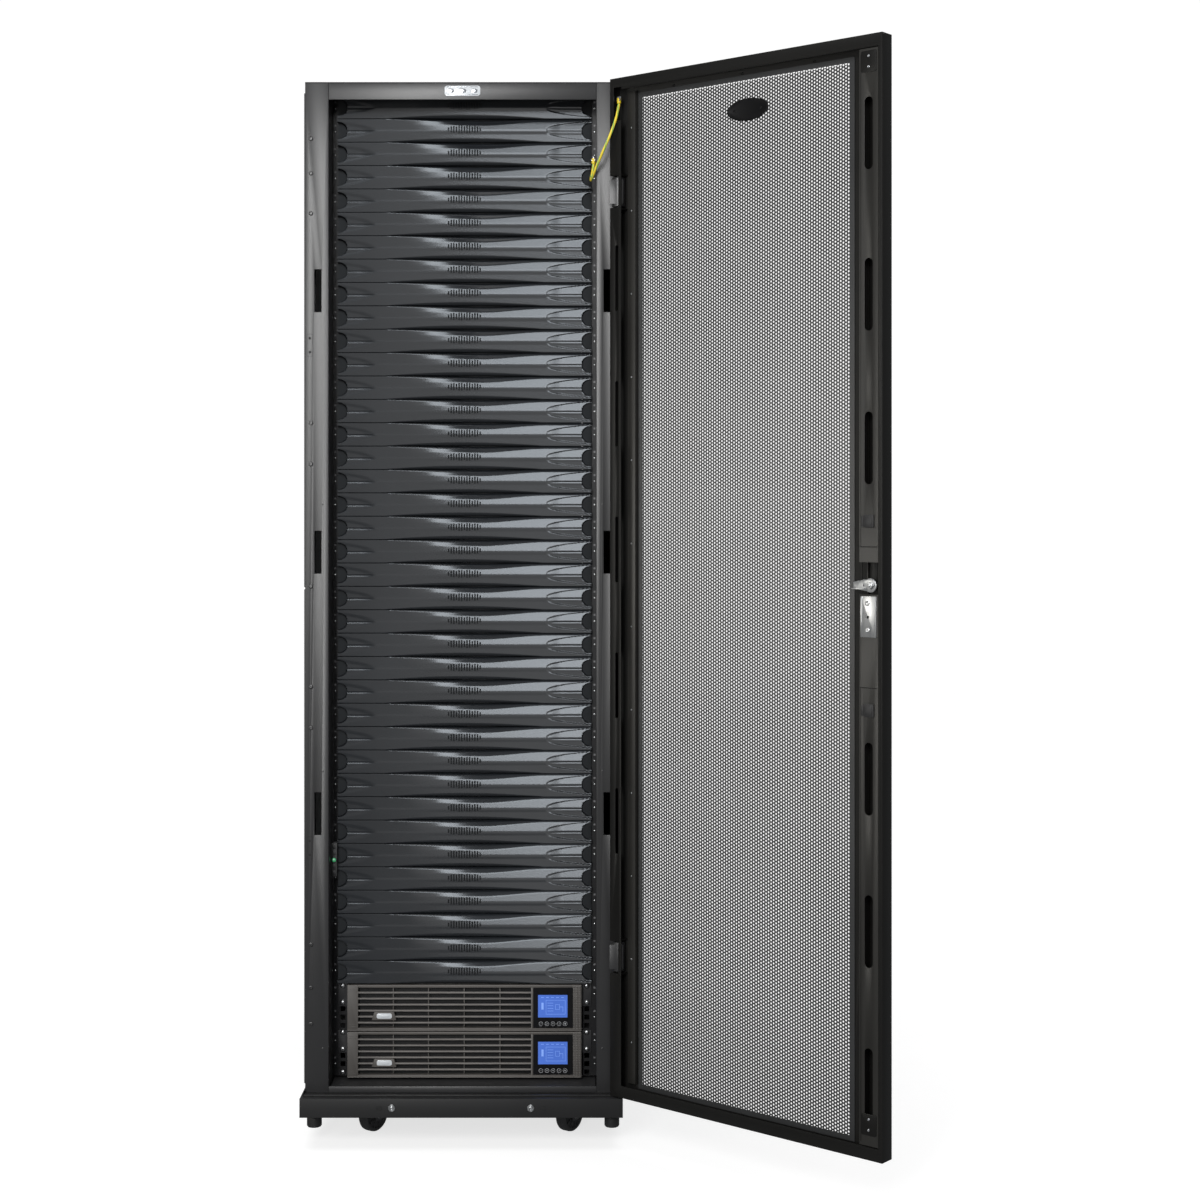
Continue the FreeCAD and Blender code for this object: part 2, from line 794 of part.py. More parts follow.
def door_shell(free, window_near, window_far, cutters):
    """Folded door skin with a window, a flange all round and a lip inside each edge."""
    skin = box(f"-({free})", "door_hinge_end", "-door_half", "door_half", "door_low", "door_high")
    core = box(f"-({free}) + door_sheet", "door_hinge_end - door_sheet", "-door_half + door_sheet",
               "door_half - door_sheet", "door_low + door_sheet", "door_high - door_sheet")
    mouth = box(f"-({free}) + free_lip", "door_hinge_end - hinge_lip", "0", "door_half + 1",
                "door_low + end_lip", "door_high - end_lip")
    window = box(f"-({window_far})", f"-({window_near})", "-door_half - 1", "0", "window_low", "window_high")
    return cut(skin, [core, mouth, window] + cutters, "door_shell")


def hinge_cutters():
    """Tools for the two notches at the hinge end of a door."""
    return [box("-hinge_notch_depth", "door_hinge_end + 1", "-door_half - 1", "door_half + 1",
                f"{height} - hinge_notch", f"{height} + hinge_notch")
            for height in ("hinge_upper", "hinge_lower")]


def hinge_tabs():
    """Plates above and below each notch, which turn on the hinge pins."""
    tabs = []
    for height in ("hinge_upper", "hinge_lower"):
        for low in (f"{height} - hinge_notch - hinge_tab", f"{height} + hinge_notch"):
            plate = box("-hinge_notch_depth", "door_hinge_end - door_sheet", "-door_half + door_sheet",
                        "door_half - door_sheet", low, f"{low} + hinge_tab")
            bore = rod("pin_radius + running_fit", "0", "0", f"{low} - 1", "hinge_tab + 2")
            tabs.append(cut(plate, [bore]))
    return tabs


def hinge_brackets():
    """Knuckles with pins on the frame, two for the front door and two for each rear door."""
    brackets = []
    for height in ("hinge_upper", "hinge_lower"):
        knuckle = rod("knuckle_radius", "hinge_across", "-hinge_along", f"{height} - knuckle_half",
                      "2 * knuckle_half")
        arm = box("hinge_across - 2 * hinge_arm_half", "hinge_across + hinge_arm_half / 2", "-hinge_along",
                  "-frame_depth / 2", f"{height} - knuckle_half", f"{height} + knuckle_half")
        pin = rod("pin_radius", "hinge_across", "-hinge_along", f"{height} - pin_half", "2 * pin_half")
        front = fuse([knuckle, arm, pin], "bracket")
        rear = mirror(front, ALONG)
        brackets += [front, rear, mirror(rear, ACROSS)]
    node("hinge_brackets", brackets)


def front_door():
    """Perforated door with its latch channel, badge, lock, swing handle, cam and bonding terminal."""
    turn = FreeCAD.Rotation(FreeCAD.Vector(0, 0, 1), value("door_open"))
    place = FreeCAD.Placement(FreeCAD.Vector(value("hinge_across"), -value("hinge_along"), 0), turn)
    inner = "door_half"
    sheet_back = "-door_half + door_sheet"
    spindle = rod("lock_radius + running_fit", "lock_x", "-door_half - 5", "lock_z",
                  "2 * door_half + 10", "Y")
    slots = [slot("-hinge_slot_across", height, "door_slot_length", "hinge_slot_width", "0", f"{inner} + 1")
             for height in HINGE_SLOT_HEIGHTS]
    recess = box("door_hinge_end - hinge_lip - 1", "-1", "0", f"{inner} + 1", "terminal_low", "terminal_high")
    openings = hinge_cutters() + slots + [recess, spindle]
    shell = door_shell("door_free_end", "window_near", "window_far", openings)
    node("front_door_pan", [shell] + hinge_tabs(), place)

    mesh = box("-window_far - mesh_overlap", "-window_near + mesh_overlap", sheet_back,
               f"{sheet_back} + mesh_sheet", "window_low - mesh_overlap", "window_high + mesh_overlap")
    node("front_door_mesh", [mesh], place)
    front_door_channels(place, sheet_back)

    edge = doc.addObject("Part::Ellipse", "oval_edge")
    edge.Placement = FreeCAD.Placement(FreeCAD.Vector(), TURNS["Y"])
    bind(edge, MajorRadius="oval_long", MinorRadius="oval_short", x="oval_x", y=f"{sheet_back} + mesh_sheet",
         z="oval_z")
    oval = doc.addObject("Part::Extrusion", "oval")
    oval.Base = edge
    oval.DirMode = "Custom"
    oval.Dir = ALONG
    oval.Solid = True
    bind(oval, LengthFwd="2 * mesh_sheet")
    node("front_door_badge", [oval], place)

    inner_plate = box("lock_x - lock_plate_half", "lock_x + lock_plate_half", inner,
                      f"{inner} + lock_plate_sheet", "lock_plate_low", "lock_plate_high")
    dish = box("lock_x - dish_half", "lock_x + dish_half", "dish_front", "-door_half",
               "dish_low", "dish_high")
    node("front_lock_plates", [inner_plate, cut(dish, [spindle])], place)

    grip = box("lock_x - lever_half", "lock_x + lever_half", "lever_front", "lever_back",
               "lever_low", "lever_high")
    shaft = rod("lock_radius", "lock_x", "lever_back - 1", "lock_z", "cam_front - lever_back + 1", "Y")
    node("front_handle_lever", [fuse([grip, shaft])], place)

    hub = rod("cam_hub", "lock_x", "cam_back", "lock_z", "cam_front - cam_back", "Y")
    tongue = box("lock_x", "lock_x + cam_length", "cam_back", "cam_front",
                 "lock_z - cam_half", "lock_z + cam_half")
    bore = rod("lock_radius", "lock_x", "cam_back - 1", "lock_z", "cam_front - cam_back + 2", "Y")
    node("front_latch_cam", [cut(fuse([hub, tongue]), [bore])], place)

    stud = rod("stud_radius", "-hinge_slot_across", sheet_back, "terminal_stud",
               "door_half - door_sheet + terminal_stud_reach", "Y")
    boot = rod("boot_radius", "-hinge_slot_across", "terminal_boot_y", "terminal_boot_low",
               "terminal_boot_high - terminal_boot_low")
    node("door_ground_terminal", [fuse([stud, boot])], place)


def front_door_channels(place, sheet_back):
    """Slotted channel behind the latch edge and a low stiffening step beside the hinge edge."""
    inner = "door_half"
    ends = ("door_low + end_lip + 2", "door_high - end_lip - 2")
    far = "-channel_far + panel_gap"
    near = "-channel_near"
    hollow = box(f"{far} + door_sheet", f"{near} - door_sheet", f"{sheet_back} - 1", f"{inner} - door_sheet",
                 "door_low", "door_high")
    cam_window = box(f"{far} - 1", f"{near} + 1", f"{sheet_back} + 4", f"{inner} + 1", "cam_window_low",
                     "cam_window_high")
    slots = [slot(f"({far} + {near}) / 2", height, "door_slot_length", "door_slot_width",
                  f"{inner} - door_sheet - 1", f"{inner} + 1") for height in LATCH_SLOT_HEIGHTS]
    latch = cut(box(far, near, sheet_back, inner, *ends), [hollow, cam_window] + slots)
    step_near = "door_hinge_end - hinge_lip - panel_gap"
    step = cut(box("-hinge_step", step_near, sheet_back, "hinge_step_top", *ends),
               [box("-hinge_step + door_sheet", f"{step_near} + 1", f"{sheet_back} - 1",
                    "hinge_step_top - door_sheet", "door_low", "door_high")])
    node("front_door_channels", [latch, step], place)


def rear_doors():
    """Two half-width perforated doors; the left one carries the handle."""
    for name, side in (("rear_door_left", -1), ("rear_door_right", 1)):
        shell = door_shell("rear_door_free", "rear_window_margin", "rear_door_free - rear_window_margin",
                           hinge_cutters())
        mesh = box("-rear_door_free + rear_window_margin - mesh_overlap",
                   "-rear_window_margin + mesh_overlap", "-door_half + door_sheet",
                   "-door_half + door_sheet + mesh_sheet", "window_low - mesh_overlap",
                   "window_high + mesh_overlap")
        members = [shell, mesh] + hinge_tabs()
        leaf = bundle(members, "leaf")
        closed = mirror(leaf, ALONG)
        if side < 0:
            closed = mirror(closed, ACROSS)
        place = FreeCAD.Placement(FreeCAD.Vector(side * value("hinge_across"), value("hinge_along"), 0),
                                  FreeCAD.Rotation())
        node(name, [closed], place)
    skin = "hinge_along + door_half"
    grip = box("rear_lever_left", "rear_lever_right", f"{skin} + rear_lever_gap",
               f"{skin} + rear_lever_gap + rear_lever_depth", "rear_lever_low", "rear_lever_high")
    boss = rod("rear_boss_radius", "rear_boss_x", f"{skin} + rear_boss_gap", "rear_boss_z",
               "rear_lever_gap", "Y")
    node("rear_handle_lever", [fuse([grip, boss])])


def small_pieces():
    """Header badge, spirit level, post screws, ground wire and its stud."""
    front = "-frame_depth / 2"
    node("header_badge", [box("-badge_half", "badge_half", f"{front} - badge_sheet", front,
                              "badge_low", "badge_high")])

    middle = "(level_low + level_high) / 2"
    vial = rod("vial_radius", "-level_across", f"{front} + vial_front", middle,
               "level_front - vial_front", "Y")
    housing = box("-level_across - level_half", "-level_across + level_half", f"{front} + level_front",
                  f"{front} + level_back", "level_low", "level_high")
    node("spirit_level", [vial, housing])

    screws = []
    for height in POST_SCREW_HEIGHTS:
        left = rod("post_screw_radius", "-post_screw_across", f"{front} - post_screw_head", f"{height}",
                   "post_screw_head", "Y")
        screws.append(left)
        if abs(height - value("hinge_lower")) > value("knuckle_half + post_screw_radius"):
            screws.append(mirror(left, ACROSS))
    for place in PLINTH_SCREW_PLACES:
        screws += both_sides(rod("plinth_screw_radius", place, "-plinth_depth / 2 - post_screw_head",
                                 "plinth_screw_height", "post_screw_head", "Y"))
    head_front = "rail_front - rail_sheet - rack_screw_head"
    for unit in RACK_SCREW_UNITS:
        for hole in ("rail_hole_first", "rail_hole_third"):
            height = f"rack_low + {unit} * unit_pitch + {hole}"
            screws += both_sides(rod("rack_screw_radius", "rail_hole_across", head_front, height,
                                     "rack_screw_head", "Y"))
    screws.append(rod("rack_screw_radius", "-rail_hole_across", "rail_front - rack_screw_head",
                      "rack_low + rail_hole_first", "rack_screw_head", "Y"))
    node("frame_screws", screws)

    start = "rail_outer - ground_stud_reach"
    stud = rod("stud_radius", start, "ground_stud_y", "ground_stud_z", "ground_stud_reach", "X")
    boot = rod("boot_radius", start, "ground_stud_y", "ground_boot_low", "ground_boot_high - ground_boot_low")
    node("ground_stud", [fuse([stud, boot])])


def tangent_path(points):
    """Straight runs joined by tangent arcs, each arc as large as its two runs allow."""
    spots = [FreeCAD.Vector(*point) for point in points]
    edges = []
    start = spots[0]
    radii = []
    for before, corner, after in zip(spots, spots[1:], spots[2:]):
        run_in, run_out = corner - before, after - corner
        shorter = min(run_in.Length, run_out.Length)
        half_turn = run_in.getAngle(run_out) / 2
        setback = ARC_SHARE * shorter
        radii.append(setback / math.tan(half_turn))
        enter = corner - run_in * (setback / run_in.Length)
        leave = corner + run_out * (setback / run_out.Length)
        bisector = (leave + enter) * 0.5 - corner
        inward = bisector * (1 / bisector.Length)
        depth = radii[-1] / math.cos(half_turn) - radii[-1]
        edges.append(Part.LineSegment(start, enter).toShape())
        edges.append(Part.Arc(enter, corner + inward * depth, leave).toShape())
        start = leave
    edges.append(Part.LineSegment(start, spots[-1]).toShape())
    print("cord radii", [round(radius, 1) for radius in radii])
    return Part.Wire(edges)


def ground_wire():
    """Bonding wire between the front door and the frame."""
    path = tangent_path(WIRE_ROUTE)
    first = path.Edges[0]
    start = first.valueAt(first.FirstParameter)
    ring = Part.Wire(Part.makeCircle(value("wire_radius"), start, first.tangentAt(first.FirstParameter)))
    tube = path.makePipeShell([ring], True, False)
    print("cord length", round(path.Length, 1), "volume ratio",
          round(tube.Volume / (math.pi * value("wire_radius") ** 2 * path.Length), 4))
    item = doc.addObject("Part::Feature", "ground_wire")
    item.Shape = tube
    item.Label = "ground_wire"
    nodes.append(item)


base_plinth()
corner_posts()
frame_members()
floor_and_roof()
side_panels()
rack_rails()
blanking_panels()
power_supply("ups_lower", 0)
power_supply("ups_upper", 2)
for corner, (side, end) in {"front_left": (-1, -1), "front_right": (1, -1), "rear_left": (-1, 1),
                            "rear_right": (1, 1)}.items():
    castor(f"castor_{corner}", side, end)
    levelling_foot(f"foot_{corner}", side, end)
hinge_brackets()
front_door()
rear_doors()
small_pieces()
ground_wire()

doc.recompute()
for item in doc.Objects:
    if "Invalid" in item.State or "Error" in item.State:
        raise RuntimeError(f"{item.Name} ({item.Label}) failed: {item.State}")
for item in nodes:
    if item.Shape.isNull() or not item.Shape.isValid():
        raise RuntimeError(f"{item.Label} has no valid shape")

os.makedirs("parts", exist_ok=True)
for item in nodes:
    item.Shape.exportStep(f"parts/{item.Label}.step")
    limits = item.Shape.BoundBox
    edges = (limits.XMin, limits.XMax, limits.YMin, limits.YMax, limits.ZMin, limits.ZMax)
    print(f"{item.Label:28s} solids {len(item.Shape.Solids):3d} volume {item.Shape.Volume / 1000:9.1f} cm3",
          [round(edge, 1) for edge in edges])
print(len(nodes), "sub-parts")
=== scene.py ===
"""Looks of a rack cabinet with two rack mount power supplies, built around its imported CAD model.

Lengths are in millimetres until a piece is made, which is in metres. Front door pieces are written in the
closed door's own frame: x is 0 on the hinge axis and negative towards the free edge, y runs from the outer
skin to the inner lip, and z is the height over the floor. DOOR carries them to the open door.
"""

import json
import math

import bmesh
import bpy
import numpy as np
from mathutils import Matrix, Vector


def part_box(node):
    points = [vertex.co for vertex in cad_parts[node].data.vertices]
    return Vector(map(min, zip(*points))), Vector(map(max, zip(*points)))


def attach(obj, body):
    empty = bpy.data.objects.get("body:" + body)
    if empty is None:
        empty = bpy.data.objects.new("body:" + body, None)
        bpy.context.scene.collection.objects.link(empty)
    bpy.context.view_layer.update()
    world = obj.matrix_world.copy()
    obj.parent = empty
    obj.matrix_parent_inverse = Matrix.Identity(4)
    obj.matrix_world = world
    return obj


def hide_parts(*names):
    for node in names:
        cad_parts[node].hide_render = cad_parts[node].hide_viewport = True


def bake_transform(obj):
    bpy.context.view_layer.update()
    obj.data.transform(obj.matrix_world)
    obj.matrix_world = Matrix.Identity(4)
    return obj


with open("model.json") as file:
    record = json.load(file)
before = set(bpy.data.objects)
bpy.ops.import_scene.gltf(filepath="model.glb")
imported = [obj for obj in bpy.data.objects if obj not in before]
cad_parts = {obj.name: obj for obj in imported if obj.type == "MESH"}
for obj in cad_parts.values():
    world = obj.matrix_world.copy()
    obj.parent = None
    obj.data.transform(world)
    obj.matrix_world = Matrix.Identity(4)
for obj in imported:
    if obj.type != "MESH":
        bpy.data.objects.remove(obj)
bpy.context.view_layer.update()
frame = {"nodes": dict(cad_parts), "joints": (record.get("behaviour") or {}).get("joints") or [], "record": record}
MM = 0.001


def span(node):
    """A node's box in millimetres: low corner, high corner."""
    low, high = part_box(node)
    return low / MM, high / MM


JOINTS = {joint["name"]: joint for joint in frame["joints"]}
HINGE_AT = Vector(JOINTS["front_door_hinge"]["pos_m"]) * Vector((1, 1, 0)) / MM
DOOR = Matrix.Translation(HINGE_AT) @ Matrix.Rotation(math.radians(140), 4, "Z")
REAR_PIVOT = abs(JOINTS["rear_door_left_hinge"]["pos_m"][0]) / MM
REAR_LINE = JOINTS["rear_door_left_hinge"]["pos_m"][1] / MM
HINGE_HEIGHTS = (1781, 358)
UNIT = 44.45
RACK_LOW = 110.0
RACK_HOLE_X = 232.55
RACK_HOLES = (6.35, 38.1)


# ---------------------------------------------------------------- meshes

def cuboid(x0, x1, y0, y1, z0, z1):
    """A box between two corners, given in either order."""
    points = [(x, y, z) for x in sorted((x0, x1)) for y in sorted((y0, y1)) for z in sorted((z0, z1))]
    faces = [(0, 1, 3, 2), (4, 6, 7, 5), (0, 4, 5, 1), (2, 3, 7, 6), (0, 2, 6, 4), (1, 5, 7, 3)]
    return points, faces


AXES = {"X": Matrix.Rotation(math.radians(90), 4, "Y"), "Y": Matrix.Rotation(math.radians(-90), 4, "X"),
        "Z": Matrix.Identity(4)}


def moved(part, matrix):
    """A part carried by a matrix."""
    points, faces = part
    return [tuple(matrix @ Vector(point)) for point in points], faces


def skin(rings):
    """A closed surface over rings of points, each ring as long as the others."""
    count = len(rings[0])
    faces = []
    for low in range(0, count * (len(rings) - 1), count):
        for step in range(count):
            after = (step + 1) % count
            faces.append((low + step, low + after, low + count + after, low + count + step))
    faces.append(tuple(reversed(range(count))))
    faces.append(tuple(range(count * (len(rings) - 1), count * len(rings))))
    return [tuple(point) for ring in rings for point in ring], faces


def circle(sides):
    """The cosine and sine of evenly spaced angles."""
    angles = [2 * math.pi * step / sides for step in range(sides)]
    return [(math.cos(angle), math.sin(angle)) for angle in angles]


def turned(profile, centre, axis="Z", sides=32):
    """A surface of revolution from (radius, height) pairs, closed where it ends."""
    rings = [[(radius * right, radius * up, height) for right, up in circle(sides)]
             for radius, height in profile]
    return moved(skin(rings), Matrix.Translation(centre) @ AXES[axis])


def prism(outline, low, high, axis):
    """An outline of (a, b) pairs pulled along an axis."""
    return moved(skin([[(a, b, height) for a, b in outline] for height in (low, high)]), AXES[axis])


def tube(path, radius, sides):
    """A round tube along points, with a frame that doesn't twist."""
    rings = []
    normal = (path[1] - path[0]).orthogonal()
    for index, spot in enumerate(path):
        ahead = (path[min(index + 1, len(path) - 1)] - path[max(index - 1, 0)]).normalized()
        normal = (normal - ahead * normal.dot(ahead)).normalized()
        side = ahead.cross(normal)
        rings.append([spot + (normal * right + side * up) * radius for right, up in circle(sides)])
    return skin(rings)


def grid(points):
    """Quads over an array of points, rows by columns."""
    rows, columns = points.shape[:2]
    index = np.arange(rows * columns).reshape(rows, columns)
    quads = np.stack([index[:-1, :-1], index[:-1, 1:], index[1:, 1:], index[1:, :-1]], axis=-1).reshape(-1, 4)
    return [tuple(point) for point in points.reshape(-1, 3)], [tuple(quad) for quad in quads.tolist()]


def rounded(x0, x1, z0, z1, radius, steps=6):
    """The outline of a rectangle with round corners."""
    outline = []
    corners = ((x1 - radius, z1 - radius, 0), (x0 + radius, z1 - radius, 90), (x0 + radius, z0 + radius, 180),
               (x1 - radius, z0 + radius, 270))
    for x, z, start in corners:
        for step in range(steps + 1):
            angle = math.radians(start + 90 * step / steps)
            outline.append((x + radius * math.cos(angle), z + radius * math.sin(angle)))
    return outline


def plate(x0, x1, z0, z1, y0, y1, radius=3):
    """A plate in the XZ plane with round corners, from y0 to y1."""
    outline = [(x, -z) for x, z in rounded(x0, x1, z0, z1, radius)][::-1]
    return prism(outline, y0, y1, "Y")


def strips(a0, a1, b0, b1, wide, tall):
    """Four strips just inside a rectangle, as spans: sides of one width, and ends of one height between."""
    return ((a0, a0 + wide, b0, b1), (a1 - wide, a1, b0, b1), (a0 + wide, a1 - wide, b0, b0 + tall),
            (a0 + wide, a1 - wide, b1 - tall, b1))


def build(name, parts, materials, body, bevel=0.0, smooth=35, replaces=(), matrix=None):
    """One piece from shapes in millimetres, each alone or with its material number, or a number per face."""
    points, faces, marks = [], [], []
    for part in parts:
        part, mark = part if isinstance(part[0], tuple) else (part, 0)
        start = len(points)
        points += part[0]
        faces += [tuple(start + corner for corner in face) for face in part[1]]
        marks += [mark] * len(part[1]) if isinstance(mark, int) else mark
    mesh = bpy.data.meshes.new(name)
    mesh.from_pydata(points, [], faces)
    mesh.polygons.foreach_set("material_index", marks)
    mesh.transform(Matrix.Scale(MM, 4) @ (matrix or Matrix.Identity(4)))
    return place(name, mesh, materials, body, bevel, smooth, replaces)


def place(name, mesh, materials, body, bevel=0.0, smooth=35, replaces=()):
    """Put a mesh in the scene as a piece of the object."""
    for material in materials if isinstance(materials, (list, tuple)) else [materials]:
        mesh.materials.append(material)
    item = bpy.data.objects.new(name, mesh)
    bpy.context.scene.collection.objects.link(item)
    if bevel:
        soften(item, bevel)
    mesh = item.data
    mesh.polygons.foreach_set("use_smooth", [True] * len(mesh.polygons))
    mesh.set_sharp_from_angle(angle=math.radians(smooth))
    mesh.update()
    if body:
        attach(item, body)
    if replaces:
        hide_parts(*replaces)
    return item


def soften(item, width, segments=2):
    """Round the sharp edges of a piece and keep the result as its mesh."""
    rounding = item.modifiers.new("edges", "BEVEL")
    rounding.width = width * MM
    rounding.segments = segments
    rounding.limit_method = "ANGLE"
    rounding.angle_limit = math.radians(35)
    rounding.use_clamp_overlap = True
    graph = bpy.context.evaluated_depsgraph_get()
    mesh = bpy.data.meshes.new_from_object(item.evaluated_get(graph))
    item.modifiers.clear()
    rough = item.data
    item.data = mesh
    bpy.data.meshes.remove(rough)


def refined(node, material, bevel, body):
    """A CAD node's shape with clean faces and rounded edges."""
    mesh = frame["nodes"][node].data.copy()
    mesh.materials.clear()
    work = bmesh.new()
    work.from_mesh(mesh)
    bmesh.ops.remove_doubles(work, verts=work.verts, dist=1e-6)
    bmesh.ops.dissolve_limit(work, angle_limit=math.radians(0.5), verts=work.verts, edges=work.edges)
    work.to_mesh(mesh)
    work.free()
    return place(f"{node}_finished", mesh, material, body, bevel, 30, (node,))


def perforated(low, high, y0, y1, pitch, across):
    """A flat sheet with six-sided holes in staggered columns, from (x, z) low to high."""
    column = pitch * math.sqrt(3) / 2
    columns = int((high[0] - low[0]) / column)
    rows = int((high[1] - low[1]) / pitch)
    x, z = np.meshgrid(np.arange(columns), np.arange(rows))
    across_of, height_of = low[0] + (x + 0.5) * column, low[1] + (z + 0.25 + 0.5 * (x % 2)) * pitch
    centres = np.stack([across_of, height_of], -1).reshape(-1, 2)
    angles = np.arange(6) * math.pi / 3
    round_trip = np.stack([np.cos(angles), np.sin(angles)], -1)
    outer = (centres[:, None] + round_trip * pitch / math.sqrt(3)).reshape(-1, 2)
    inner = (centres[:, None] + round_trip * across / math.sqrt(3)).reshape(-1, 2)
    _, first, which = np.unique(np.round(outer, 2), axis=0, return_index=True, return_inverse=True)
    corners = outer[first]
    which = which.reshape(-1, 6)
    holes = np.arange(len(inner)).reshape(-1, 6)
    flat = np.concatenate([corners, inner])
    count = len(flat)
    points = np.empty((2 * count, 3))
    points[:count, 0], points[:count, 1], points[:count, 2] = flat[:, 0], y0, flat[:, 1]
    points[count:, 0], points[count:, 1], points[count:, 2] = flat[:, 0], y1, flat[:, 1]
    holes = holes + len(corners)
    after, holes_after = np.roll(which, -1, axis=1), np.roll(holes, -1, axis=1)
    face = np.stack([which, after, holes_after, holes], -1).reshape(-1, 4)
    wall = np.stack([holes, holes_after, holes_after + count, holes + count], -1).reshape(-1, 4)
    return points, np.concatenate([face, face[:, ::-1] + count, wall])


def quad_mesh(name, points, quads, matrix):
    """A mesh of quads from arrays."""
    mesh = bpy.data.meshes.new(name)
    mesh.vertices.add(len(points))
    mesh.vertices.foreach_set("co", points.astype(np.float32).ravel())
    mesh.loops.add(quads.size)
    mesh.loops.foreach_set("vertex_index", quads.astype(np.int32).ravel())
    mesh.polygons.add(len(quads))
    mesh.polygons.foreach_set("loop_start", np.arange(0, quads.size, 4, dtype=np.int32))
    mesh.update(calc_edges=True)
    mesh.transform(Matrix.Scale(MM, 4) @ matrix)
    return mesh


# ---------------------------------------------------------------- materials

def added(nodes, kind, values):
    """A new shader node with some of its inputs set."""
    node = nodes.new(kind)
    for name, value in values.items():
        node.inputs[name].default_value = value
    return node


def finish(name, color, rough, metal=0.0, grain=700.0, bump=0.25, depth=0.00006, spread=0.06, mottle=0.15,
           coat=0.0, stretch=(1, 1, 1), specular=0.5, wear=0.0):
    """A surface with fine grain in its bump and gloss, and a broad, faint change of shade."""
    material = bpy.data.materials.new(name)
    material.use_nodes = True
    nodes, links = material.node_tree.nodes, material.node_tree.links
    shader = nodes["Principled BSDF"]
    shader.inputs["Metallic"].default_value = metal
    shader.inputs["Coat Weight"].default_value = coat
    shader.inputs["Coat Roughness"].default_value = 0.12
    shader.inputs["Specular IOR Level"].default_value = specular
    place_at = nodes.new("ShaderNodeTexCoord")
    mapping = added(nodes, "ShaderNodeMapping", {"Scale": stretch})
    links.new(place_at.outputs["Object"], mapping.inputs["Vector"])
    fine = added(nodes, "ShaderNodeTexNoise", {"Scale": grain, "Detail": 3})
    broad = added(nodes, "ShaderNodeTexNoise", {"Scale": 7, "Detail": 4})
    links.new(mapping.outputs["Vector"], fine.inputs["Vector"])
    links.new(place_at.outputs["Object"], broad.inputs["Vector"])
    ramp = nodes.new("ShaderNodeValToRGB")
    for element, position, shade in zip(ramp.color_ramp.elements, (0.3, 0.7), (1 - mottle, 1 + mottle)):
        element.position = position
        element.color = [part * shade for part in color] + [1]
    links.new(broad.outputs["Fac"], ramp.inputs["Fac"])
    tint = ramp.outputs["Color"]
    if wear:
        tint = worn(nodes, links, tint, color, wear)
    links.new(tint, shader.inputs["Base Color"])
    gloss = added(nodes, "ShaderNodeMapRange", {"From Min": 0.3, "From Max": 0.7, "To Min": rough - spread,
                                                "To Max": rough + spread})
    links.new(fine.outputs["Fac"], gloss.inputs["Value"])
    links.new(gloss.outputs["Result"], shader.inputs["Roughness"])
    relief = added(nodes, "ShaderNodeBump", {"Strength": bump, "Distance": depth})
    links.new(fine.outputs["Fac"], relief.inputs["Height"])
    links.new(relief.outputs["Normal"], shader.inputs["Normal"])
    return material


def worn(nodes, links, tint, color, wear):
    """Lighten the convex edges, where a coat rubs thin."""
    shape = nodes.new("ShaderNodeNewGeometry")
    edge = added(nodes, "ShaderNodeMapRange", {"From Min": 0.52, "From Max": 0.62, "To Max": wear})
    links.new(shape.outputs["Pointiness"], edge.inputs["Value"])
    mix = nodes.new("ShaderNodeMix")
    mix.data_type = "RGBA"
    mix.inputs["B"].default_value = [min(1, part * 3 + 0.05) for part in color] + [1]
    links.new(edge.outputs["Result"], mix.inputs["Factor"])
    links.new(tint, mix.inputs["A"])
    return mix.outputs["Result"]


def glow(name, color, strength):
    """A surface that gives off light, with a faint fall-off: a lit display, or a painted glow on a part that is no
    lamp.
    """
    material = finish(name, color, 0.2, bump=0.02)
    nodes, links = material.node_tree.nodes, material.node_tree.links
    shader = nodes["Principled BSDF"]
    ramp = next(node for node in nodes if node.type == "VALTORGB")
    links.new(ramp.outputs["Color"], shader.inputs["Emission Color"])
    shader.inputs["Emission Strength"].default_value = strength
    return material


def striped(name, first, second):
    """Sleeve with stripes along its length, from the tube's own coordinates."""
    material = finish(name, first, 0.42, grain=1500, bump=0.1)
    nodes, links = material.node_tree.nodes, material.node_tree.links
    where = nodes.new("ShaderNodeUVMap")
    split = nodes.new("ShaderNodeSeparateXYZ")
    links.new(where.outputs["UV"], split.inputs["Vector"])
    fold = nodes.new("ShaderNodeMath")
    fold.operation = "PINGPONG"
    fold.inputs[1].default_value = 0.25
    links.new(split.outputs["X"], fold.inputs[0])
    edge = added(nodes, "ShaderNodeMapRange", {"From Min": 0.055, "From Max": 0.075})
    links.new(fold.outputs["Value"], edge.inputs["Value"])
    mix = nodes.new("ShaderNodeMix")
    mix.data_type = "RGBA"
    mix.inputs["B"].default_value = list(second) + [1]
    ramp = next(node for node in nodes if node.type == "VALTORGB")
    links.new(edge.outputs["Result"], mix.inputs["Factor"])
    links.new(ramp.outputs["Color"], mix.inputs["A"])
    links.new(mix.outputs["Result"], nodes["Principled BSDF"].inputs["Base Color"])
    return material


COAT = {"grain": 620, "bump": 0.3}
POWDER = finish("powder_coat", (0.010, 0.010, 0.0105), 0.46, grain=620, bump=0.35, depth=0.00008,
                specular=0.25, wear=0.25)
POST = finish("post_coat", (0.016, 0.016, 0.017), 0.38, **COAT, specular=0.65, wear=0.25)
DOOR_COAT = finish("door_coat", (0.0055, 0.0053, 0.0048), 0.42, **COAT, specular=0.25, wear=0.15)
CHANNEL_COAT = finish("channel_coat", (0.013, 0.0123, 0.0107), 0.4, **COAT, wear=0.2)
MESH_COAT = finish("mesh_coat", (0.03, 0.031, 0.032), 0.4, grain=500, bump=0.2)
RAIL = finish("rail_coat", (0.006, 0.006, 0.007), 0.45, **COAT, specular=0.3)
RAIL_MARK = finish("rail_mark", (0.12, 0.12, 0.125), 0.5, grain=900, bump=0.1)
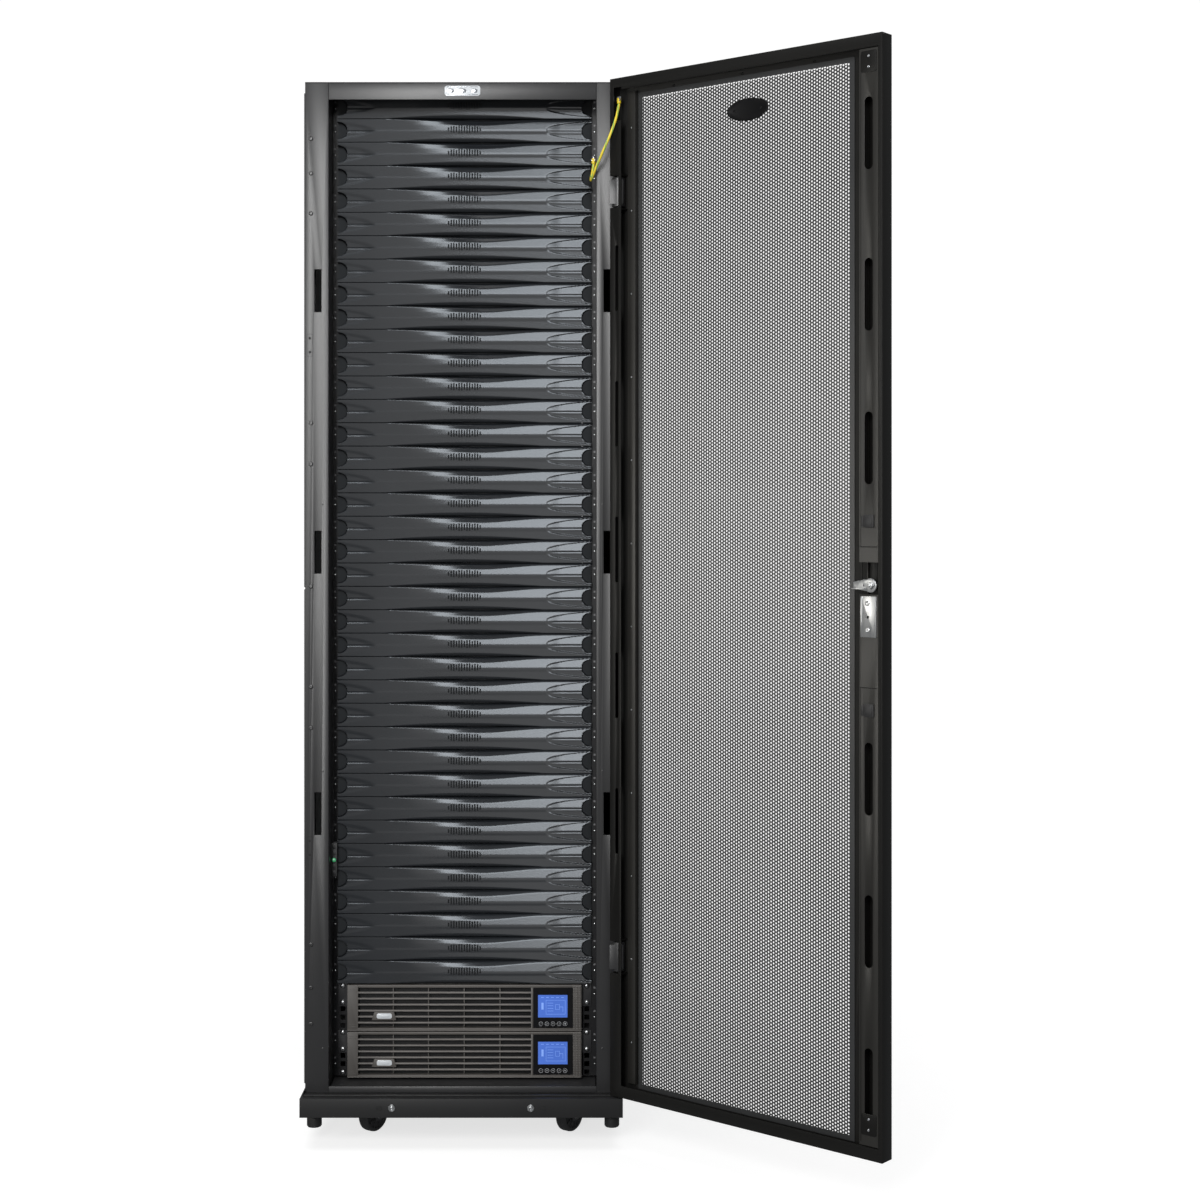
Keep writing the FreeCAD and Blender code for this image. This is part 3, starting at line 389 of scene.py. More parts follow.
PANEL = finish("panel_plastic", (0.02, 0.0215, 0.024), 0.22, grain=1400, bump=0.08, spread=0.03)
RIB = finish("panel_rib", (0.003, 0.0035, 0.004), 0.55, grain=900, bump=0.05, specular=0.2)
# A darker, matte copy of the panel plastic: painted shade in the panels' recessed end caps and in the seams
# between panels.
PANEL_PAINTED_SHADE = finish("panel_recess_painted_shade", (0.008, 0.009, 0.01), 0.6, grain=1400, bump=0.2, specular=0.3)
PLASTIC = finish("black_plastic", (0.016, 0.016, 0.017), 0.5, grain=1600, bump=0.4, depth=0.00005)
BEZEL = finish("bezel_plastic", (0.085, 0.078, 0.072), 0.5, grain=1500, bump=0.4, depth=0.00005)
# A lighter grey for the louvre bars, and for thin strips along each bezel's top and bottom edges that are a
# painted highlight.
BEZEL_BAR_AND_PAINTED_HIGHLIGHT = finish("bezel_bar_and_painted_highlight", (0.16, 0.15, 0.142), 0.45, grain=1500, bump=0.3)
# Near-black painted shade: stands in for the depth of holes, slots and recesses, and darkens the sheet behind the
# louvres.
PAINTED_SHADE = finish("painted_shade_in_holes", (0.004, 0.004, 0.0045), 0.7, grain=400, bump=0.2)
GLOSS = finish("panel_black", (0.004, 0.004, 0.005), 0.35, grain=900, bump=0.05, spread=0.04, specular=0.2)
ZINC = finish("zinc_plate", (0.56, 0.57, 0.58), 0.32, metal=1.0, grain=260, bump=0.15, stretch=(1, 1, 0.15))
STEEL = finish("castor_zinc", (0.42, 0.43, 0.45), 0.36, metal=1.0, grain=300, bump=0.2)
CASE = finish("ups_case", (0.02, 0.02, 0.022), 0.5, **COAT)
RUBBER = finish("tread_rubber", (0.02, 0.02, 0.021), 0.62, grain=300, bump=0.4, depth=0.0001)
BRISTLE = finish("brush_bristle", (0.012, 0.012, 0.013), 0.75, grain=1800, bump=0.8, stretch=(1, 0.05, 1))
BADGE = finish("badge_light", (0.62, 0.65, 0.68), 0.25, grain=900, bump=0.03, coat=0.4)
BADGE_LINE = finish("badge_line", (0.42, 0.44, 0.47), 0.2, metal=0.8, grain=900, bump=0.03)
BADGE_DARK = finish("oval_black", (0.004, 0.004, 0.0045), 0.45, grain=700, bump=0.15, specular=0.2)
MARK = finish("key_mark", (0.42, 0.43, 0.45), 0.35, grain=900, bump=0.05)
CASTOR = finish("castor_black", (0.02, 0.02, 0.022), 0.42, grain=600, bump=0.25)
YELLOW = finish("boot_yellow", (0.8, 0.58, 0.015), 0.4, grain=1200, bump=0.1)
WIRE = striped("wire_sleeve", (0.22, 0.52, 0.12), (0.86, 0.66, 0.05))
# The level's green vial gives off light though it is no lamp: a painted glow.
VIAL_PAINTED_GLOW = glow("vial_green_painted_glow", (0.05, 0.42, 0.16), 0.25)
SCREEN = glow("screen_blue", (0.05, 0.115, 0.42), 0.8)
SCREEN_LINE = glow("screen_line", (0.16, 0.27, 0.62), 0.8)


# ---------------------------------------------------------------- camera, light, floor

FILL_STRENGTH = 0.18
OVERHEAD = 1.6
FLOOR_SIZE = 16
FLOOR_SHADE = 0.42
FLOOR_GLOW = 0.71
EYE_AT = (0.25, -4.218, 1.215)
EYE_LENS = 59.4
EYE_SHIFT = (0.0034, -0.0865)
# Rectangular lamps: name, place, target, size, watts, colour
LAMPS = (("left_soft", (-1.0, -4.6, 1.65), (-0.3, -0.5, 1.4), (0.9, 2.1), 84, (1.0, 1.0, 0.99)),
         ("top_soft", (-0.6, -4.6, 3.1), (-0.2, -0.5, 1.9), (2.0, 1.1), 80, (1.0, 1.0, 1.0)),
         ("side_soft", (-2.6, -2.0, 1.1), (0.6, -0.8, 1.1), (1.2, 0.9), 17, (1.0, 0.97, 0.9)))


def surroundings():
    """White behind everything, and a dimmer, even light on the object."""
    world = bpy.data.worlds.new("surroundings")
    bpy.context.scene.world = world
    world.use_nodes = True
    nodes, links = world.node_tree.nodes, world.node_tree.links
    seen = nodes["Background"]
    seen.inputs["Color"].default_value = (1, 1, 1, 1)
    seen.inputs["Strength"].default_value = 1.02
    fill = added(nodes, "ShaderNodeBackground", {"Color": (0.96, 0.98, 1, 1), "Strength": FILL_STRENGTH})
    ray = nodes.new("ShaderNodeLightPath")
    mix = nodes.new("ShaderNodeMixShader")
    links.new(ray.outputs["Is Camera Ray"], mix.inputs["Fac"])
    links.new(fill.outputs["Background"], mix.inputs[1])
    links.new(seen.outputs["Background"], mix.inputs[2])
    links.new(mix.outputs["Shader"], nodes["World Output"].inputs["Surface"])
    bpy.context.scene.view_settings.view_transform = "Standard"


def stage_and_light():
    """Pale floor, white surroundings, soft lamps, and the camera."""
    surroundings()
    bpy.ops.mesh.primitive_grid_add(x_subdivisions=4, y_subdivisions=4, size=FLOOR_SIZE, location=(0, 0, 0))
    floor = bpy.context.object
    floor.name = "floor"
    pale = finish("floor_pale", [FLOOR_SHADE] * 3, 0.7, grain=60, bump=0.03, mottle=0.01)
    pale.node_tree.nodes["Principled BSDF"].inputs["Emission Color"].default_value = (1, 1, 1, 1)
    pale.node_tree.nodes["Principled BSDF"].inputs["Emission Strength"].default_value = FLOOR_GLOW
    floor.data.materials.append(pale)
    floor.visible_diffuse = False
    floor.visible_glossy = False
    floor.visible_shadow = False

    sun("overhead", 0, 90, 50, OVERHEAD, (1, 1, 1))
    for entry in LAMPS:
        lamp(*entry)

    eye = bpy.data.cameras.new("eye")
    eye.lens = EYE_LENS
    eye.sensor_width = 36
    eye.shift_x, eye.shift_y = EYE_SHIFT
    camera = bpy.data.objects.new("camera", eye)
    camera.location = EYE_AT
    camera.rotation_euler = (math.radians(90), 0, 0)
    bpy.context.scene.collection.objects.link(camera)
    bpy.context.scene.camera = camera


def sun(name, azimuth, height, angle, strength, color):
    """Even light from a round patch of the surroundings, at an azimuth from the front and a height."""
    light = bpy.data.lights.new(name, "SUN")
    light.energy = strength
    light.angle = math.radians(angle)
    light.color = color
    item = bpy.data.objects.new(name, light)
    turn, lift = math.radians(azimuth), math.radians(height)
    away = Vector((math.sin(turn) * math.cos(lift), -math.cos(turn) * math.cos(lift), math.sin(lift)))
    item.location = away * 6
    item.rotation_euler = (-away).to_track_quat("-Z", "Y").to_euler()
    bpy.context.scene.collection.objects.link(item)
    return item


def lamp(name, at, target, size, power, color):
    """A soft rectangular lamp aimed at a point."""
    light = bpy.data.lights.new(name, "AREA")
    light.shape = "RECTANGLE"
    light.size, light.size_y = size
    light.energy = power
    light.color = color
    item = bpy.data.objects.new(name, light)
    item.location = at
    item.rotation_euler = (Vector(target) - Vector(at)).to_track_quat("-Z", "Y").to_euler()
    item.visible_camera = False
    bpy.context.scene.collection.objects.link(item)


def panel_lights(panels, others):
    """Two patches of light that only the blanking panels take, and lamps that pass them by."""
    taken = bpy.data.collections.new("lit_panels")
    passed = bpy.data.collections.new("unlit_panels")
    for panel in panels:
        taken.objects.link(panel)
        passed.objects.link(panel)
    for entry in passed.collection_objects:
        entry.light_linking.link_state = "EXCLUDE"
    sun("panel_streak", 4, 22, 25, 1.5, (0.86, 0.93, 1.0)).light_linking.receiver_collection = taken
    sun("panel_wash", 14, -2, 48, 0.55, (1, 1, 1)).light_linking.receiver_collection = taken
    for item in others:
        item.light_linking.receiver_collection = passed


# ---------------------------------------------------------------- ground wire

WIRE_ROUTE = (
    (293.0, -537.3, 1944.0),
    (290.4, -540.3, 1928.0),
    (285.9, -545.7, 1911.0),
    (279.0, -548.5, 1891.0),
    (270.5, -546.5, 1871.0),
    (261.5, -540.0, 1852.0),
    (253.0, -529.5, 1834.0),
    (246.0, -516.5, 1818.5),
    (241.5, -502.5, 1809.0),
    (240.0, -489.0, 1809.5),
    (241.5, -478.5, 1819.0),
    (244.5, -474.0, 1832.0),
    (245.5, -474.0, 1843.0),
)
WIRE_RADIUS = 2.5
WIRE_SIDES = 16
WIRE_TURNS = 0.035


def smooth_line(route):
    """Points along a NURBS line through a route's control points, in metres."""
    curve = bpy.data.curves.new("wire_line", "CURVE")
    curve.dimensions = "3D"
    curve.resolution_u = 8
    line = curve.splines.new("NURBS")
    line.points.add(len(route) - 1)
    for point, spot in zip(line.points, route):
        point.co = (*(Vector(spot) * MM), 1)
    line.order_u = 3
    line.use_endpoint_u = True
    item = bpy.data.objects.new("wire_line", curve)
    mesh = bpy.data.meshes.new_from_object(item)
    points = [vertex.co.copy() for vertex in mesh.vertices]
    bpy.data.meshes.remove(mesh)
    bpy.data.objects.remove(item)
    bpy.data.curves.remove(curve)
    return points


def ground_wire():
    """Striped bonding wire between the door and the frame, with a boot and a lug at each end."""
    path = smooth_line(WIRE_ROUTE)
    mesh = bpy.data.meshes.new("ground_wire_sleeve")
    points, faces = tube(path, WIRE_RADIUS * MM, WIRE_SIDES)
    mesh.from_pydata(points, [], faces)
    layer = mesh.uv_layers.new(name="along")
    for face in mesh.polygons:
        corners = [mesh.loops[loop].vertex_index for loop in face.loop_indices]
        steps = [corner % WIRE_SIDES for corner in corners]
        crosses = max(steps) - min(steps) > 1
        for loop, corner, step in zip(face.loop_indices, corners, steps):
            around = (step or (WIRE_SIDES if crosses else 0)) / WIRE_SIDES
            ring = corner // WIRE_SIDES
            layer.data[loop].uv = (around + ring * WIRE_TURNS, ring)
    sleeve = place("ground_wire_sleeve", mesh, WIRE, None, smooth=60,
                   replaces=("ground_wire",))
    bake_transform(sleeve)
    boot("door_terminal", "door_ground_terminal", "front_door", (-8, 8, 1944.7), "Y", 1952, DOOR)
    boot("frame_terminal", "ground_stud", "cabinet", (245.5, -474, 1843.3), "X", 1850, Matrix.Identity(4))


def boot(name, node, body, foot, axis, stud, matrix):
    """Tapered yellow boot, crimped lug, and the nut that holds it."""
    x, y, z = foot
    sleeve = turned([(3.0, 0), (3.7, 0.6), (4.0, 5), (3.6, 9), (2.8, 10.4), (2.2, 10.6)], foot, sides=24)
    wide, deep, ahead = {"X": (0.8, 4.6, (1, 0, 0)), "Y": (4.6, 0.8, (0, 1, 0))}[axis]
    lug = cuboid(x - wide, x + wide, y - deep, y + deep, z + 9.5, stud + 6)
    at, ahead = Vector((x, y, stud)), Vector(ahead)
    nut = turned([(3.4, -2.6), (4.1, -2.0), (4.1, 0.6), (3.4, 1.0)], at + ahead * 1.4, axis, 6)
    washer = turned([(4.8, -0.5), (5.0, -0.3), (5.0, 0.4)], at + ahead * 2.4, axis, 24)
    bolt = turned([(2.2, -5), (2.5, -4.4), (2.5, 3)], at, axis, 16)
    build(name, [sleeve, (lug, 1), (nut, 1), (washer, 1), (bolt, 1)], [YELLOW, ZINC], body,
          bevel=0.25, replaces=(node,), matrix=matrix)


# ---------------------------------------------------------------- blanking panels

PANEL_HALF = 241.3
PANEL_RISE = 21.95
PANEL_TALL = 2 * PANEL_RISE
RAIL_FRONT = -440.0
SEAM_REACH = 150.0
SEAM_ABOVE = 4.6
SEAM_BELOW = 7.0
# Lens-shaped hollows at the right and left end: start, side, depth, softness of the rim, power of its outline
EYES = ((155.0, 1, 3.4, 1.4, 0.36), (167.0, -1, 0.4, 8.0, 0.5))
EYE_HALF = 19.2
CAP_CENTRE = 239.0
CAP_RADIUS = 16.2
CAP_FLOOR = 4.0
RIBS = 13
RIB_STEP = 5.0
RIB_MIDDLE = 2.0


def fade(share):
    """Smooth step from 0 to 1."""
    share = np.clip(share, 0, 1)
    return share * share * (3 - 2 * share)


def risen(reach, start, width):
    """The height gained past a start by a slope that eases in from 0 to 1 over a width."""
    share = np.clip((reach - start) / width, 0, 1)
    return width * (share ** 3 - share ** 4 / 2) + np.clip(reach - start - width, 0, None)


def panel_relief(x, z):
    """How far a blanking panel's face stands in front of the rails."""
    u = x / PANEL_HALF
    taper = np.clip(1 - (x / SEAM_REACH) ** 2, 0, 1)
    gap = 0.8 + np.where(z > 0, SEAM_ABOVE, SEAM_BELOW) * taper ** 1.2
    over = np.clip((np.abs(z) - PANEL_RISE + gap) / gap, 0, 0.995)
    roll = (1.2 + 9 * taper) * (1 - np.sqrt(1 - over * over))
    right = fade((x + 110) / 150)
    shoulder = 8.5 + 7.5 * fade((x - 30) / 125)
    below = 0.1 * (risen(-z, 1.5, 1.5) - risen(-z, 6, 2))
    swell = right * (0.2 * risen(z, -0.5, 3) + 0.35 * risen(z, shoulder, 3.5) + below)
    swell = swell - (1 - right) * 0.05 * (risen(z, 0, 3) - risen(-z, 0, 3))
    relief = 13.2 + 1.8 * (1 - u * u) - roll - swell
    for start, sign, depth, rim, power in EYES:
        along = np.clip((sign * x - start) / (PANEL_HALF - start), 0, 1)
        inside = fade((EYE_HALF * along ** power - np.abs(z)) / rim)
        groove = 0.8 * np.exp(-((z + 1.6) / 1.3) ** 2) * fade(along * 5)
        hollow = depth * (0.15 + 0.85 * fade(along * 2.5)) * fade(along * 30)
        relief = relief - inside * (hollow + groove)
    cap = fade((CAP_RADIUS - np.hypot(np.abs(x) - CAP_CENTRE, z)) / 0.9)
    return relief * (1 - cap) + CAP_FLOOR * cap


def panel_shape():
    """One panel about its own middle, and the material of each face: plain, or painted shade in the recessed end
    caps.
    """
    columns = np.concatenate([np.linspace(-PANEL_HALF, -150, 60), np.linspace(-147, 147, 74),
                              np.linspace(150, PANEL_HALF, 60)])
    lines = np.concatenate([np.linspace(-PANEL_RISE, -12, 16), np.linspace(-11, 11, 23),
                            np.linspace(12, PANEL_RISE, 16)])
    x, z = np.meshgrid(columns, lines)
    points = np.stack([x, RAIL_FRONT - panel_relief(x, z), z], -1)
    points = np.pad(points, ((1, 1), (1, 1), (0, 0)), mode="edge")
    for edge in (np.s_[0], np.s_[-1], np.s_[:, 0], np.s_[:, -1]):
        points[edge][..., 1] = RAIL_FRONT - 0.3
    spots, faces = grid(points)
    rows, count = points.shape[:2]
    index = np.arange(rows * count).reshape(rows, count)
    rim = np.concatenate([index[0, :], index[1:, -1], index[-1, -2::-1], index[-2:0:-1, 0]])
    middles = np.array(spots)[np.array(faces)].mean(axis=1)
    dark = np.hypot(np.abs(middles[:, 0]) - CAP_CENTRE, middles[:, 2]) < CAP_RADIUS
    return (spots, faces + [tuple(reversed(rim.tolist()))]), dark.astype(int).tolist() + [0]


def panel_ribs():
    """A plain grip mark in the middle of a panel: short upright ribs inside a low lens."""
    ribs = []
    for step in range(RIBS):
        x = (step - (RIBS - 1) / 2) * RIB_STEP
        tall = 5.2 * math.sqrt(1 - (x / 36) ** 2) + (2.2 if step % 3 else 0.6)
        front = RAIL_FRONT - panel_relief(np.array(x), np.array(RIB_MIDDLE)) - 1.0
        ribs.append(cuboid(x - 1.3, x + 1.3, front, front + 3.4, RIB_MIDDLE - tall, RIB_MIDDLE + tall))
    return ribs


def blanking_panels():
    """A sculpted cover in each rack unit above the power supplies."""
    low, high = span("blanking_panels")
    # A strip along each panel's top edge, in the seam between panels, in painted shade.
    lip = cuboid(-222, 222, RAIL_FRONT - 0.2, RAIL_FRONT + 1.2, PANEL_RISE - 3, PANEL_RISE + 2.5)
    parts = [panel_shape(), (lip, 1)] + [(rib, 2) for rib in panel_ribs()]
    panels = []
    for number in range(round((high.z - low.z) / UNIT)):
        at = Matrix.Translation((0, 0, low.z + UNIT * number + PANEL_TALL / 2))
        panels.append(build(f"blanking_panel_{number + 1}", parts, [PANEL, PANEL_PAINTED_SHADE, RIB], "cabinet",
                            smooth=32, replaces=("blanking_panels",), matrix=at))
    panel_lights(panels, [bpy.data.objects[name] for name in ("left_soft", "top_soft")])


# ---------------------------------------------------------------- power supplies

BEZEL_FRONT = -456.0
BEZEL_BACK = -442.5
UPS_HALF = 222.5
GRILLE = (-202.0, 127.0)
LOUVRES = 6
RIB_PLACES = (-135.4, -68.6, -0.7, 67.4)
DISPLAY = (131.0, 206.0)
DISPLAY_FRONT = BEZEL_FRONT - 1.5
DISPLAY_BACK = -444.0
SCREEN_BOX = (140.0, 196.0, 25.5, 68.5)
KEYS = 5
KEY_PLAY = 0.3


def ups_front(name):
    """Bezel, louvres, filter and badge of one power supply."""
    low, high = (corner.z for corner in span(f"{name}_bezel"))
    shell = [plate(-UPS_HALF, GRILLE[0], low, high, BEZEL_FRONT, BEZEL_BACK, 1.2),
             plate(DISPLAY[1], UPS_HALF, low, high, BEZEL_FRONT, BEZEL_BACK, 1.2),
             cuboid(GRILLE[0] - 1, DISPLAY[1] + 1, BEZEL_FRONT, BEZEL_BACK, low, low + 5),
             cuboid(GRILLE[0] - 1, DISPLAY[1] + 1, BEZEL_FRONT, BEZEL_BACK, high - 5, high),
             cuboid(GRILLE[1], DISPLAY[0], BEZEL_FRONT, BEZEL_BACK, low + 4, high - 4)]
    for row in range(18):
        z = low + 3.6 + row * (high - low - 7.2) / 17
        for column in range(3):
            x = DISPLAY[1] + 3.0 + column * 5.2
            shell.append(cuboid(x - 1.8, x + 1.8, BEZEL_FRONT - 0.8, BEZEL_FRONT + 1, z - 1.7, z + 1.7))
    for edge in (low + 8, low + 12, high - 12, high - 8):
        shell.append(cuboid(-UPS_HALF + 2, GRILLE[0] - 2, BEZEL_FRONT - 0.35, BEZEL_FRONT + 1, edge - 0.6,
                            edge + 0.6))
    build(f"{name}_bezel_shell", shell, BEZEL, "cabinet", bevel=0.5,
          replaces=(f"{name}_bezel",))

    pitch = (high - low - 6.6) / (LOUVRES + 1)
    bars = []
    for step in range(LOUVRES):
        z = low + 3.3 + (step + 1) * pitch
        profile = [(-1.7, 4.5), (-1.5, 1.2), (-0.7, 0.2), (0.7, 0.2), (1.5, 1.2), (1.7, 4.5)]
        bars.append(skin([[(x, BEZEL_FRONT + depth, z + rise) for rise, depth in profile]
                          for x in (GRILLE[0] - 0.5, GRILLE[1] + 0.5)]))
    # Thin pale strips along the bezel's top and bottom edges: a painted highlight where the edges catch the light.
    for z in (low + 1.0, high - 1.0):
        bars.append(cuboid(0.6 - UPS_HALF, UPS_HALF - 0.6, BEZEL_FRONT - 0.25, BEZEL_FRONT + 1, z - 0.7,
                           z + 0.7))
    bars.append(cuboid(GRILLE[1] - 0.2, GRILLE[1] + 1, BEZEL_FRONT - 0.3, BEZEL_FRONT + 3, low + 4.5,
                       high - 4.5))
    build(f"{name}_louvres", bars, BEZEL_BAR_AND_PAINTED_HIGHLIGHT, "cabinet")

    ribs = [cuboid(x - 0.9, x + 0.9, BEZEL_FRONT + 5, BEZEL_BACK, low + 4.5, high - 4.5) for x in RIB_PLACES]
    # The back sheet and slats behind the louvres are near-black: painted shade.
    back = cuboid(GRILLE[0] - 1, GRILLE[1] + 1, BEZEL_BACK - 1.6, BEZEL_BACK, low + 4, high - 4)
    slats = [(cuboid(*GRILLE, BEZEL_BACK - 3.2, BEZEL_BACK - 1.5, z - 0.5, z + 0.5), 1)
             for z in np.arange(low + 7, high - 6, 3.2)]
    build(f"{name}_filter", ribs + [(back, 1)] + slats, [BEZEL, PAINTED_SHADE], "cabinet", bevel=0.2)

    tray = prism([(-129, -(low + 20)), (-134, -(low + 35.5)), (-171, -(low + 35.5)), (-176, -(low + 20))],
                 BEZEL_FRONT - 0.2, BEZEL_BACK - 2, "Y")
    pill = plate(-166.5, -137.5, low + 23, low + 33, BEZEL_FRONT - 1.4, BEZEL_FRONT + 1, 3.6)
    window = plate(-161, -143, low + 25.4, low + 30.6, BEZEL_FRONT - 1.9, BEZEL_FRONT - 1, 2.4)
    build(f"{name}_badge", [(tray, 1), pill, window], [BADGE, BEZEL], "cabinet", bevel=0.4)


def bored_block(x, z, half, radius, y0, y1):
    """A square block with a round bore along Y."""
    spokes = circle(32)
    count = len(spokes)
    points = []
    for y in (y0, y1):
        for right, up in spokes:
            reach = half / max(abs(right), abs(up))
            points.append((x + reach * right, y, z + reach * up))
        points += [(x + radius * right, y, z + radius * up) for right, up in spokes]
    faces = []
    for one, other in ((0, 1), (1, 3), (3, 2), (2, 0)):
        one, other = one * count, other * count
        for spoke in range(count):
            after = (spoke + 1) % count
            faces.append((one + spoke, one + after, other + after, other + spoke))
    return points, faces


def ups_display(name):
    """Black panel with a bore for each key and a recessed blue screen that shows a plain flow drawing."""
    low = span(f"{name}_bezel")[0].z
    x0, x1, z0, z1 = SCREEN_BOX
    z0, z1 = z0 + low, z1 + low
    bottom, top = low + 6.4, low + 81.5
    keys = [span(f"{name}_button_{number + 1}") for number in range(KEYS)]
    centres = [(key_low + key_high) / 2 for key_low, key_high in keys]
    half = (centres[1].x - centres[0].x) / 2
    bore = (keys[0][1].x - keys[0][0].x) / 2 + KEY_PLAY
    row_low, row_high = centres[0].z - half, centres[0].z + half
    depth = (DISPLAY_FRONT, DISPLAY_BACK)
    parts = [plate(DISPLAY[0], x0, row_high, top, *depth, 0.6),
             plate(x1, DISPLAY[1], row_high, top, *depth, 0.6),
             plate(*DISPLAY, bottom, row_low, *depth, 0.6),
             cuboid(x0 - 0.5, x1 + 0.5, *depth, z1, top - 0.3),
             cuboid(x0 - 0.5, x1 + 0.5, *depth, row_high, z0),
             cuboid(DISPLAY[0], centres[0].x - half, *depth, row_low, row_high),
             cuboid(centres[-1].x + half, DISPLAY[1], *depth, row_low, row_high)]
    parts += [bored_block(centre.x, centre.z, half, bore, *depth) for centre in centres]
    screen = cuboid(x0 - 0.6, x1 + 0.6, DISPLAY_FRONT + 0.7, -446, z0 - 0.6, z1 + 0.6)
    build(f"{name}_display_panel", parts + [(screen, 1)], [GLOSS, SCREEN], "cabinet",
          replaces=(f"{name}_display",))

    lines = [(6.5, 10.5, 15, 28), (41, 47, 19.7, 20.4), (47, 47.6, 11, 20.4)]
    lines += [(18, 29, rise, rise + 0.6) for rise in (12, 17, 22, 27)]
    lines += [(6 + spot * 9.5, 11 + spot * 9.5, 37.5, 38.4) for spot in range(5)]
    for a0, a1, b0, b1 in ((15, 52, 6, 33), (33, 41, 15, 25)):
        lines += strips(a0, a1, b0, b1, 0.5, 0.5)
    at = DISPLAY_FRONT + 0.72
    strokes = [cuboid(x0 + a0, x0 + a1, at - 0.12, at + 0.1, z0 + b0, z0 + b1) for a0, a1, b0, b1 in lines]
    build(f"{name}_screen_drawing", strokes, SCREEN_LINE, "cabinet")


def ups_buttons(name):
    """Round keys, each with a pale ring and its own plain mark."""
    for number in range(KEYS):
        node = f"{name}_button_{number + 1}"
        low, high = span(node)
        x, z = (low.x + high.x) / 2, (low.z + high.z) / 2
        radius = (high.x - low.x) / 2
        front = low.y
        body = turned([(0.6, front + 0.42), (radius - 1.2, front + 0.25), (radius - 0.4, front + 0.35),
                       (radius, front + 0.9), (radius * 0.97, high.y)], (x, 0, z), "Y", 36)
        lip = [(0.95, 0.42), (0.9, 0.1), (0.35, 0.12), (0.25, 0.5)]
        points, faces = turned([(radius - inset, front + back) for inset, back in lip], (x, 0, z), "Y", 36)
        ring = (points, faces[:-2])
        marks = [(mark, 1) for mark in button_mark(number, x, z, front + 0.18)]
        build(f"{node}_cap", [body, (ring, 1)] + marks, [GLOSS, MARK], node,
              replaces=(node,))


def button_mark(number, x, z, front):
    """A bar, an arrow up, an arrow down, a return hook or a ring, raised on a key."""
    back = front + 0.5
    if number == 0:
        return [cuboid(x - 1.6, x + 1.6, front, back, z - 0.25, z + 0.25)]
    if number in (1, 2):
        up = 1 if number == 1 else -1
        outline = [(x - 1.5, -(z - 0.7 * up)), (x + 1.5, -(z - 0.7 * up)), (x, -(z + 1.3 * up))]
        return [prism(outline[::-up], front, back, "Y")]
    if number == 3:
        return [cuboid(x - 1.5, x + 1.5, front, back, z - 0.8, z - 0.35),
                cuboid(x + 1.05, x + 1.5, front, back, z - 0.8, z + 1.1)]
    return [turned([(1.3, front), (1.3, back)], (x, 0, z), "Y", 24)]


def ups_case(name):
    """Sheet steel case with bent ears and rounded edges, and the sockets at the back."""
    refined(f"{name}_chassis", CASE, 0.4, "cabinet")
    low, high = span(f"{name}_rear_sockets")
    base = span(f"{name}_chassis")[0].z
    back = high.y
    parts = []
    # Socket slots, the inlet's recess and the slots beside the outlets are near-black: painted shade for the
    # openings.
    for column in range(8):
        for line in (18, 50):
            x0, z0 = -190 + column * 34, base + line
            parts.append(plate(x0, x0 + 28, z0, z0 + 24, low.y, back, 4))
            for dx, dz, wide, tall in ((8, 13, 1.6, 7), (20, 13, 1.6, 7), (14, 5, 3.2, 3.6)):
                x, z = x0 + dx, z0 + dz
                parts.append((cuboid(x - wide / 2, x + wide / 2, back - 2, back + 0.05, z - tall / 2,
                                     z + tall / 2), 1))
    parts.append(plate(110, 150, base + 30, base + 60, low.y, back, 3))
    parts.append((plate(116, 144, base + 34, base + 56, back - 3, back + 0.05, 3), 1))
    for x in (122.5, 130, 137.5):
        parts.append((cuboid(x - 1, x + 1, back - 2, back + 0.1, base + 41, base + 49), 2))
    parts.append(plate(165, 212, base + 10, base + 76, low.y, back - 2, 2))
    for row in range(6):
        z = base + 15.5 + row * 11
        parts.append((turned([(3.6, back - 2.2), (3.6, back - 0.8), (2.9, back)], (176, 0, z), "Y", 20), 2))
        parts.append((cuboid(184, 208, back - 2.5, back - 0.6, z - 4, z + 4), 1))
    build(f"{name}_outlets", parts, [PLASTIC, PAINTED_SHADE, ZINC], "cabinet", bevel=0.3,
          replaces=(f"{name}_rear_sockets",))


# ---------------------------------------------------------------- cabinet body

POST_SCREWS = (1885, 1820, 1745, 1352, 1275, 1046, 858, 781, 375, 294, 226)
HINGE_CLEAR = (328, 388)
FRAME_FRONT = -508.0
POST_SCREW_X = 284.0
KNOCKOUT_X = 286.0
PLINTH_FRONT = -546.0
PLINTH_SCREW_X = 129.0
PLINTH_SCREW_Z = 80.0
SIDE_SKIN = 298.2
SIDE_PANELS = ((112, 1040), (1044, 1972))
UNITS = 42


def on_face(part, x, front, z, facing):
    """A part made about Z, set on an upright face: facing is 90 for -Y and -90 for +Y."""
    return moved(part, Matrix.Translation((x, front, z)) @ Matrix.Rotation(math.radians(facing), 4, "X"))


def button_head(x, z, front, radius, rise, facing=90, sides=28):
    """A domed screw head with a round socket."""
    dome = turned([(radius, 0), (radius, rise * 0.35), (radius * 0.86, rise * 0.8), (radius * 0.62, rise),
                   (radius * 0.5, rise), (radius * 0.46, rise * 0.35)], (0, 0, 0), sides=sides)
    return on_face(dome, x, front, z, facing)


def button_head_back(x, z, front, radius, rise):
    """A domed screw head on a face that looks along +Y."""
    return button_head(x, z, front, radius, rise, -90, 24)


def cross_head(x, z, front):
    """A domed screw head with a cross recess: a bright head, and two arms of painted shade for the recess."""
    radius, rise = 5.0, 3.4
    dome = turned([(radius, 0), (radius, rise * 0.3), (radius * 0.8, rise * 0.75), (radius * 0.45, rise),
                   (0.3, rise)], (0, 0, 0), sides=28)
    arms = [(cuboid(x - a, x + a, front - rise - 0.05, front - rise * 0.5, z - b, z + b), 1)
            for a, b in ((radius * 0.45, radius * 0.1), (radius * 0.1, radius * 0.45))]
    return [(on_face(dome, x, front, z, 90), 2)] + arms


